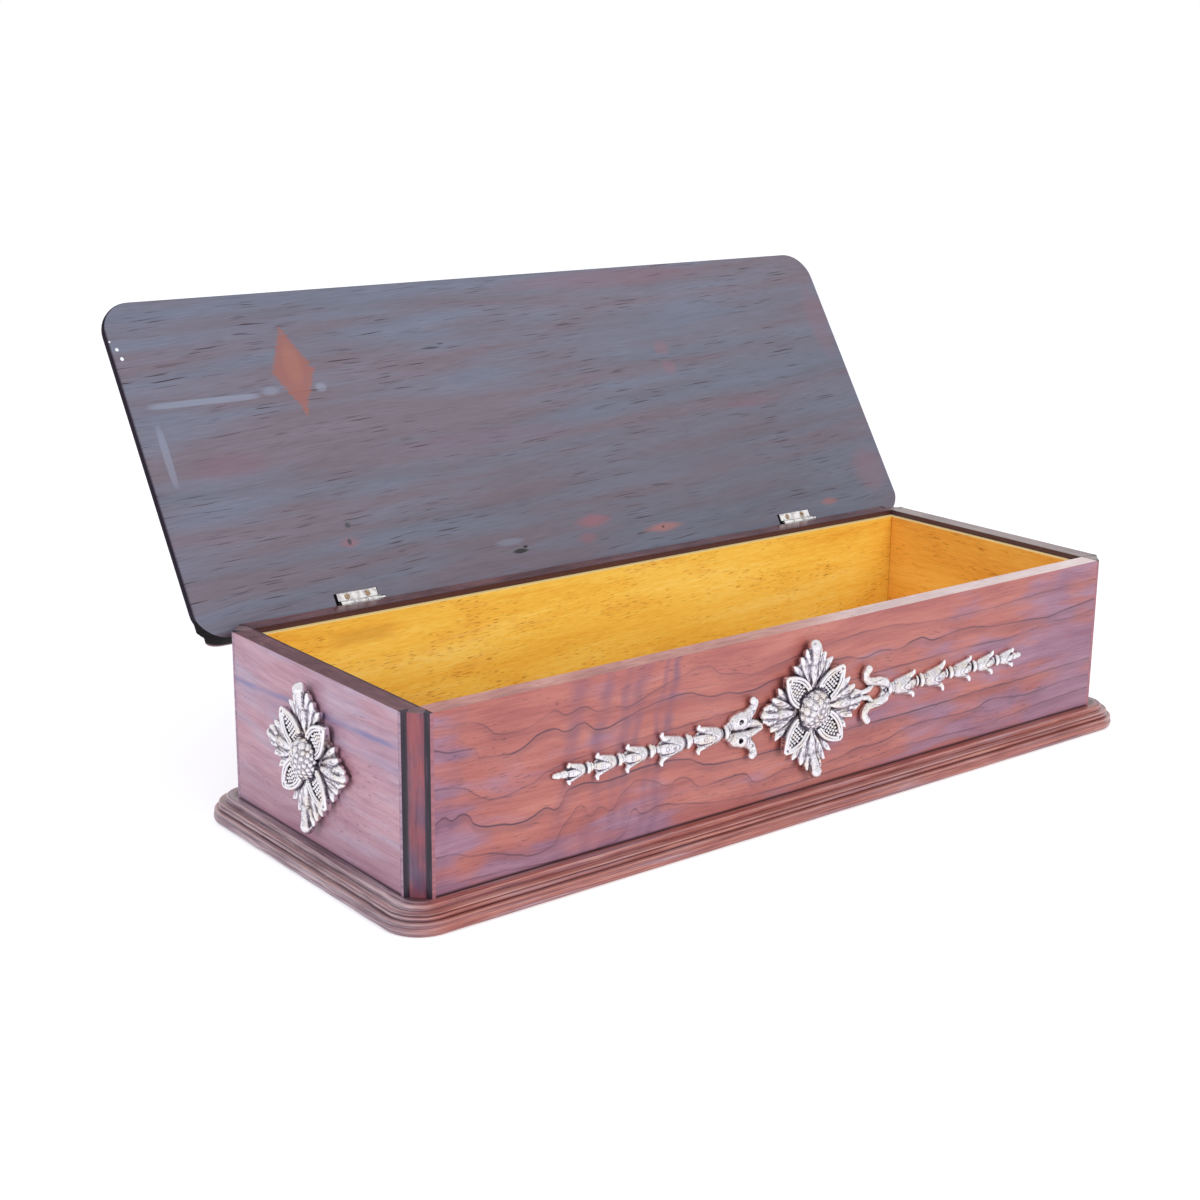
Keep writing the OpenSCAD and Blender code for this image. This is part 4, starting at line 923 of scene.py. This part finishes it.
def petal(mould, turn):
    """One pointed petal: a lifted plate with a double rim round a sunk field of seeds."""
    out = outward(turn)
    mould.plate(turned(whole_outline(PETAL, PETAL_TIP), turn),
                lambda x, y: 0.4 + np.clip(out(x, y) - 11, 0, 11) * 0.16,
                lambda x, y: petal_height(out(x, y)) - 0.35, 0.3, 0.2)
    mould.plate(turned(whole_outline(PETAL_FIELD, FIELD_TIP), turn),
                lambda x, y: petal_height(out(x, y)) - 1.25, lambda x, y: 9.0, 0.2, 0.15, sink=True)
    for inset, radius, lift in ((0.66, 0.66, -0.1), (1.95, 0.5, -0.05)):
        edge = [(max(x - inset, 0), y) for x, y in PETAL if x > inset] + [(0, PETAL_TIP - 2.05 * inset)]
        for side in (-1, 1):
            rim = [(side * x, y, float(petal_height(y)) + lift, radius) for x, y in edge]
            mould.rod(turned(rim, turn), fillet=0.12)
    for row in range(SEED_ROWS):
        y = 7.0 + row * 1.38
        room = float(np.interp(y, *SEED_ROOM)) - 0.3
        count = int(room * 2 / SEED_APART) + 1
        for number in range(count):
            x = (number - (count - 1) / 2) * SEED_APART
            mould.rod(turned(ball(x, y, float(petal_height(y)) - 0.8, SEED_R), turn), fillet=0.03)


# The boss in the rosette's middle is a dome in a groove. Small berries cover its lower right, and worn scales
# its upper left, in three rings: each ring has its tilt from the top and its turns, in degrees.
DOME_Z = 3.3
GROOVE_R = 8.2
BERRIES, BERRY_R = 58, 1.05
SCALE_R = 2.15
SCALE_RINGS = ((34, (92, 139, 186)), (62, (68, 103, 139, 175, 210)), (86, (52, 80, 110, 139, 168, 198, 226)))


def boss(mould):
    """The domed boss with its berries, which lie on a golden spiral, and its scales."""
    groove = [(GROOVE_R * math.sin(a), GROOVE_R * math.cos(a), 3.6, 0.75)
              for a in np.linspace(0, 2 * math.pi, 49)]
    mould.rod(groove, fillet=0.3, sink=True)
    mould.rod(ball(0, 0, DOME_Z, 7.3), fillet=0.1, flat=0.62)
    golden = math.pi * (3 - math.sqrt(5))
    for number in range(BERRIES):
        tilt = math.radians(90) * math.sqrt((number + 0.4) / 57.6)
        x, y = math.sin(tilt) * math.cos(number * golden), math.sin(tilt) * math.sin(number * golden)
        if -0.75 * x + 0.66 * y < 0.22:
            mould.rod(ball(x * 6.8, y * 6.8, DOME_Z + 4.0 * math.cos(tilt), BERRY_R), fillet=0.04)
    for tilt, turns in SCALE_RINGS:
        for a in np.radians(turns):
            x, y = math.sin(math.radians(tilt)) * math.cos(a), math.sin(math.radians(tilt)) * math.sin(a)
            z = DOME_Z + 2.9 * math.cos(math.radians(tilt))
            mould.rod(ball(x * 5.6, y * 5.6, z, SCALE_R), fillet=0.04)


def rosette_casting():
    """The cast rosette in its own plane: four acanthus leaves, four seeded petals and a berry boss."""
    mould = Mould((-28.4, -28.4, -0.5), (28.4, 28.4, 9.6), 0.25)
    for turn, tip, skew in ((1, BALL_TIP, -0.3), (87, BLUNT_TIP, 0.5), (179, BALL_TIP, -0.9),
                            (266, BLUNT_TIP, -0.6)):
        acanthus(mould, turn, tip, skew)
    for turn in (45, 135, 225, 315):
        petal(mould, turn)
    boss(mould)
    return mould.cast()


# The two scrolls of a garland, one half each: rods (x, y, height, radius), and how they join the metal.
CUT = {"sink": True}
CLOSED_SCROLL = [
    ([(15.8, 2.2, 1.0, 2.0), (13.4, 3.4, 1.2, 3.2), (10.6, 4.0, 1.2, 3.5), (7.8, 5.0, 1.3, 2.7),
      (5.6, 6.8, 1.5, 2.1), (4.5, 8.8, 1.8, 1.8), (4.5, 10.2, 2.1, 1.85), (5.3, 10.9, 2.2, 1.7)],
     {"fillet": 0.4, "flat": 0.8}),
    ([(11.9, 3.6, -1, 1.0), (11.9, 3.6, 6, 1.15)], {"fillet": 0.35, **CUT}),
    ([(8.8, 4.2, 4.0, 0.35), (6.6, 5.4, 3.6, 0.45), (5.2, 7.4, 3.5, 0.35)], CUT),
    ([(15.6, 0.1, 3.2, 0.8), (13.4, 0.1, 3.6, 0.8), (11.2, 0.1, 3.8, 0.45)], CUT),
    ([(13.2, 1.8, 1.1, 1.8), (10.2, 2.0, 1.2, 2.3), (7.4, 2.4, 1.3, 2.1), (4.6, 1.8, 1.2, 1.9),
      (2.2, 1.3, 1.0, 1.6), (0.2, 0.9, 0.9, 1.4)], {"fillet": 0.5}),
]
OPEN_SCROLL = [
    ([(17.2, 1.6, 1.0, 1.6), (15.2, 3.3, 1.2, 2.2), (12.0, 4.4, 1.3, 2.1), (8.8, 4.7, 1.3, 1.9),
      (5.8, 5.4, 1.5, 1.75), (4.0, 7.0, 1.7, 1.7), (3.8, 9.0, 1.9, 1.65), (4.9, 10.6, 2.2, 1.85)],
     {"flat": 0.95}),
    ([(15.6, 3.4, 4.0, 0.8), (14.4, 3.8, 4.0, 0.7)], {"fillet": 0.2, **CUT}),
    ([(12.6, 4.9, 3.6, 0.4), (8.6, 5.2, 3.3, 0.4), (5.4, 6.4, 3.3, 0.4)], {"fillet": 0.2, **CUT}),
    ([(14.6, 1.2, 1.1, 1.1), (13.4, 2.2, 1.2, 1.0)], {}),
    ([(8.0, 3.4, 1.1, 1.3), (6.2, 1.6, 1.1, 1.3), (3.4, 1.2, 1.1, 1.2), (0.6, 1.0, 1.0, 1.1)], {}),
]
# Bells of a garland from the scroll outward: collar, foot, length, half-width and reach of the side tips.
BELLS = [(17.7, 20.2, 13.1, 4.1, 5.9), (36.4, 38.6, 12.2, 4.2, 6.6), (53.8, 56.2, 10.2, 3.7, 5.6),
         (68.2, 70.2, 9.8, 3.4, 5.2), (82.3, 84.3, 8.1, 3.1, 4.2)]


def collar(mould, spot, wide):
    """The ringed collar that holds a bell: a thick ring, a thin one before it and a groove behind."""
    for before, reach, middle, high, radius, steps in ((-0.2, 1.0, 0.5, 0.75, 1.0, 9),
                                                       (1.7, 0.8, 0.3, 0.5, 0.6, 7)):
        ring = [(spot - before, wide * reach * math.sin(a), middle + wide * high * math.cos(a), radius)
                for a in np.linspace(-1.4, 1.4, steps)]
        mould.rod(ring, fillet=0.12)
    groove = [(spot + 1.5, side * wide, 0.3 + wide, 0.3) for side in (-1, 1)]
    mould.rod(groove, fillet=0.2, sink=True)


def bell(mould, foot, length, half, reach):
    """One bellflower along +X: a plump cup with two shallow grooves, a pointed tongue and tips that curl
    out."""
    def at(part):
        return foot + part * length

    mould.rod([(at(0.06), 0, 0.6, half * 0.6), (at(0.25), 0, 0.8, half * 0.88), (at(0.5), 0, 0.9, half * 0.96),
               (at(0.72), 0, 0.8, half * 0.78), (at(0.9), 0, 0.8, half * 0.46), (at(1.06), 0, 0.7, 0.5)],
              fillet=0.3, flat=0.8)
    for side in (-1, 1):
        mould.rod([(at(0.2), side * half * 0.4, 0.8, half * 0.42),
                   (at(0.55), side * half * 0.68, 1.0, half * 0.38),
                   (at(0.78), side * half * 0.9, 1.2, half * 0.3), (at(0.88), side * (reach - 1.5), 1.5, 0.95),
                   (at(0.87), side * (reach - 0.6), 1.9, 0.75)], fillet=0.5)
        mould.rod([(at(0.42), side * half * 0.30, half * 0.8 + 0.7, 0.24),
                   (at(0.62), side * half * 0.52, half * 0.62 + 0.8, 0.34),
                   (at(0.8), side * half * 0.56, half * 0.34 + 0.9, 0.45),
                   (at(0.97), side * half * 0.5, 1.4, 0.6)], fillet=0.25, sink=True)


def garland_casting(scroll):
    """The cast garland in its own plane along +X: a double scroll, then five bells joined by ringed stems.
    The lobes of the closed scroll nearly meet and each has an eye, and the open one is clear in the
    middle."""
    mould = Mould((-1.5, -14, -0.5), (100, 14, 5.6), 0.25)
    mould.rod([(15, 0, 0.3, 1.1), (96, 0, 0.3, 0.9)])
    for side in (-1, 1):
        for points, joined in scroll:
            mould.rod([(x, side * y, z, radius) for x, y, z, radius in points], **joined)
    for spot, foot, length, half, reach in BELLS:
        collar(mould, spot, half * 0.56)
        bell(mould, foot, length, half, reach)
    mould.rod([(92.9, 0, 0.9, 1.7), (93.7, 0, 1.0, 1.6)], fillet=0.2)
    mould.rod([(95.7, 0, 0.9, 1.5), (97.0, 0, 0.7, 1.1)], fillet=0.2)
    return mould.cast()


rosette_points, rosette_quads, rosette_hollow = rosette_casting()
half_l, half_d = CASE_L / 2, CASE_D / 2
for name, node, origin, across in (("Front_Rosette", "front_rosette", (0, -half_d, ROSETTE_Z), (1, 0, 0)),
                                   ("Left_Rosette", "left_rosette", (-half_l, 0, ROSETTE_Z), (0, -1, 0)),
                                   ("Right_Rosette", "right_rosette", (half_l, 0, ROSETTE_Z), (0, 1, 0))):
    add_piece(name, place(rosette_points, origin, across, (0, 0, 1)), rosette_quads, silver, "case", node,
              {"hollow": rosette_hollow})
# Each garland was bent a little by hand before it was pinned: how far its scroll sits from its axis.
for name, node, scroll, side, bend in (("Left_Garland", "left_garland", CLOSED_SCROLL, -1, -1.0),
                                       ("Right_Garland", "right_garland", OPEN_SCROLL, 1, 0.5)):
    points, quads, hollow = garland_casting(scroll)
    points[:, 1] += bend * np.clip(1 - points[:, 0] / 40, 0, 1) ** 1.5
    quads = quads if side > 0 else quads[:, ::-1]
    add_piece(name, place(points * (side, 1, 1), (side * SCROLL_X, -half_d, GARLAND_Z), (1, 0, 0), (0, 0, 1)),
              quads, silver, "case", node, {"hollow": hollow})


# Moulded base

def base_profile():
    """The section of the base board's mouldings: top member, ledge, bead between two quirks, shoulder and
    nosing. Each point is (reach beyond the walls, height, tone: 1 ledges and arrises pale from rubbing and
    with a painted highlight, -1 a quirk with painted shade)."""
    def with_wear_light_shade(points, values):
        return [(*point, value) for point, value in zip(points, values)]

    top, ledge, foot = BASE_H, BASE_H - 2.2, NOSING_H
    profile = [(-2.0, top, -1), (-0.05, top, -1), (0.35, top, -0.2), (1.2, top, 0), (TOP_OUT - 1.3, top, 0)]
    profile += with_wear_light_shade(arc(TOP_OUT - 1.1, top - 1.1, 1.1, 80, 0, 5), (0, 0.2, 0.7, 0.3, 0, 0))
    profile += [(TOP_OUT, ledge + 0.25, -0.2), (TOP_OUT - 0.3, ledge, -1), (TOP_OUT + 0.4, ledge + 0.02, 0.4),
                (BEAD_OUT - 0.5, ledge - 0.02, 0.6)]
    profile += with_wear_light_shade(arc(BEAD_OUT - 0.3, ledge - 0.35, 0.3, 80, -20, 3), (1, 1, 0.5, 0))
    profile += [(BEAD_OUT - 0.55, ledge - 0.75, -0.9), (BEAD_OUT - 0.6, ledge - 0.95, -0.9)]
    profile += with_wear_light_shade(arc(BEAD_OUT - 0.55, ledge - 1.75, 0.75, 65, -75, 6), (0, 0.3, 0.5, 0.3, 0, 0, -0.2))
    profile += [(BEAD_OUT - 0.75, foot + 0.05, -0.9), (BEAD_OUT - 0.55, foot - 0.15, -0.8),
                (BEAD_OUT + 0.4, foot, 0.3)]
    profile += with_wear_light_shade(arc(NOSING_OUT - 0.95, foot - 0.65, 0.6, 85, 0, 4), (0.7, 1, 0.7, 0.2, 0))
    profile += [(NOSING_OUT - 0.5, foot - 1.05, -0.5), (NOSING_OUT - 0.42, foot - 1.25, -0.3)]
    profile += with_wear_light_shade(arc(NOSING_OUT - 2.0, foot / 2 - 0.55, 2.0, 48, -62, 10), (0, 0.2, 0.3, 0.2) + (0,) * 7)
    return profile + [(NOSING_OUT - 1.6, 0.15, -0.3), (NOSING_OUT - 2.0, 0.0, -0.5)]


CORNER_STEPS = 16
LONG_STEPS, END_STEPS = 60, 24     # steps along the front and back, and along the ends


def base_ring(out):
    """A closed ring round the box at a reach beyond its walls, and how far each point belongs to an end."""
    radius = max(BASE_R - (NOSING_OUT - out), 0.5)
    x0, y0 = CASE_L / 2 + out - radius, CASE_D / 2 + out - radius
    signs = ((1, 1), (-1, 1), (-1, -1), (1, -1))
    ring, end = [], []
    for corner, (sx, sy) in enumerate(signs):
        start = corner * 90
        for t in np.radians(np.linspace(start, start + 90, CORNER_STEPS + 1)):
            ring.append((sx * x0 + radius * math.cos(t), sy * y0 + radius * math.sin(t)))
            end.append(abs(math.cos(t)))
        next_x, next_y = signs[(corner + 1) % 4]
        steps = END_STEPS if corner % 2 else LONG_STEPS
        last = math.radians(start + 90)
        ring += [(sx * x0 + (next_x - sx) * x0 * k / steps + radius * math.cos(last),
                  sy * y0 + (next_y - sy) * y0 * k / steps + radius * math.sin(last)) for k in range(1, steps)]
        end += [corner % 2] * (steps - 1)
    return np.array(ring + ring[:1]), end + end[:1]


def base_moulding():
    """The base board: its section swept round the box's eased corners. Every point also carries its
    millimetres along the moulding and round the section, for the grain, its tone from rubbing and painted
    light and shade, and how far it belongs to an end."""
    profile = base_profile()
    rings, along, round_it, wear_light_shade, distance = [], [], [], [], 0.0
    for number, (out, height, rub_light_shade) in enumerate(profile):
        ring, end = base_ring(out)
        if out > 0.5:
            # A hundred and fifty years of dusting: the arrises wander by a tenth of a millimetre.
            x, y = ring.T
            wander = 0.06 * np.sin(x * 0.21 + y * 0.33 + number) + 0.05 * np.sin(x * 0.83 - y * 0.57)
            ring = ring * (1 - np.clip(wander, 0, 1) / 60)[:, None]
        if number:
            before = profile[number - 1]
            distance += math.hypot(out - before[0], height - before[1])
        steps = np.hypot(*np.diff(ring, axis=0).T)
        rings.append(np.column_stack([ring, np.full(len(ring), height)]))
        along.append(np.concatenate([[0], np.cumsum(steps)]))
        round_it.append(np.full(len(ring), distance))
        wear_light_shade.append(np.full(len(ring), rub_light_shade))
    count = len(rings[0])
    faces = []
    for level in range(len(rings) - 1):
        a = level * count
        faces += [(a + i, a + count + i, a + count + i + 1, a + i + 1) for i in range(count - 1)]
    faces.append(tuple(range(count - 1)))
    faces.append(tuple(range(len(rings) * count - 2, (len(rings) - 1) * count - 1, -1)))
    carried = {"along": np.tile(along[len(along) // 2], len(rings)), "round": np.concatenate(round_it),
               "wear_light_shade": np.concatenate(wear_light_shade), "end": np.tile(end, len(rings))}
    return np.concatenate(rings), faces, carried


base_points, base_faces, base_carried = base_moulding()
add_piece("Base_Board", base_points, base_faces, base_rosewood, "case", "base_board", base_carried)

# Table, light and camera

PAPER_GLOW = 0.45     # added where the camera or a reflection sees the paper, so that it reads as pure white


def white_paper():
    """Matt white paper under the box: pure white to the eye, and it keeps the box's soft shadow."""
    material, tree = start_finish("white paper")
    rays = add(tree, "LightPath", out=None)
    seen = add(tree, "Math", [rays["Is Camera Ray"], rays["Is Glossy Ray"]], operation="MAXIMUM")
    glow = add(tree, "Math", [seen, PAPER_GLOW], operation="MULTIPLY")
    shader = add(tree, "BsdfPrincipled", {"Base Color": linear("#F2F2F4"), "Roughness": 0.9,
                                          "Specular IOR Level": 0.1, "Emission Color": linear("#FFFFFF"),
                                          "Emission Strength": glow})
    add(tree, "OutputMaterial", {"Surface": shader}, out=None)
    return material


paper = bpy.data.meshes.new("table")
paper.from_pydata([(-6, -6, 0), (6, -6, 0), (6, 6, 0), (-6, 6, 0)], [], [(0, 1, 2, 3)])
paper.materials.append(white_paper())
table = bpy.data.objects.new("table", paper)
bpy.context.scene.collection.objects.link(table)

world = bpy.data.worlds.new("light tent")
bpy.context.scene.world = world
world.use_nodes = True
sky = world.node_tree
sky.nodes.clear()
rays = add(sky, "LightPath", out=None)
seen = add(sky, "Math", [rays["Is Camera Ray"], rays["Is Glossy Ray"]], operation="MAXIMUM")
seen = add(sky, "Math", [seen, rays["Is Transmission Ray"]], operation="MAXIMUM")
tent = add(sky, "Background", {"Color": linear("#F4F7FF"), "Strength": 0.7})
white = add(sky, "Background", {"Color": linear("#FFFFFF"), "Strength": 1.0})
both = add(sky, "MixShader", [seen, tent, white])
add(sky, "OutputWorld", {"Surface": both}, out=None)


def softbox(name, spot, aim, watts, colour):
    """A square soft lamp that faces a point; places in metres."""
    lamp = bpy.data.lights.new(name, "AREA")
    lamp.size = 0.8
    lamp.energy = watts
    lamp.color = linear(colour)[:3]
    made = bpy.data.objects.new(name, lamp)
    made.location = spot
    made.rotation_euler = (Vector(aim) - Vector(spot)).to_track_quat("-Z", "Y").to_euler()
    made.visible_glossy = False
    bpy.context.scene.collection.objects.link(made)


softbox("window on the left", (-1.6, -0.1, 0.6), (-0.18, 0, 0.05), 9, "#F4F6FF")
softbox("lamp in front", (0.25, -1.6, 0.7), (0, -0.06, 0.05), 13, "#FFFCF6")

# The camera stands low at the front left: place in mm, then heading, dip and roll in degrees, and focal length.
CAMERA_AT, HEADING, DIP, ROLL, LENS = (-509.8, -581.8, 285.0), 38.273, 15.451, 0.554, 59.16
eye = bpy.data.cameras.new("camera")
eye.lens = LENS
eye.clip_start, eye.clip_end = 0.01, 30
camera = bpy.data.objects.new("camera", eye)
heading, dip, roll = math.radians(HEADING), math.radians(-DIP), math.radians(ROLL)
ahead = Vector((math.cos(dip) * math.sin(heading), math.cos(dip) * math.cos(heading), math.sin(dip)))
level = Vector((math.cos(heading), -math.sin(heading), 0))
upward = level.cross(ahead)
right = level * math.cos(roll) + upward * math.sin(roll)
above = upward * math.cos(roll) - level * math.sin(roll)
turn = Matrix((right, above, -ahead)).transposed().to_4x4()
camera.matrix_world = Matrix.Translation(Vector(CAMERA_AT) * MM) @ turn
bpy.context.scene.collection.objects.link(camera)
bpy.context.scene.camera = camera

bpy.context.scene.view_settings.view_transform = "Standard"
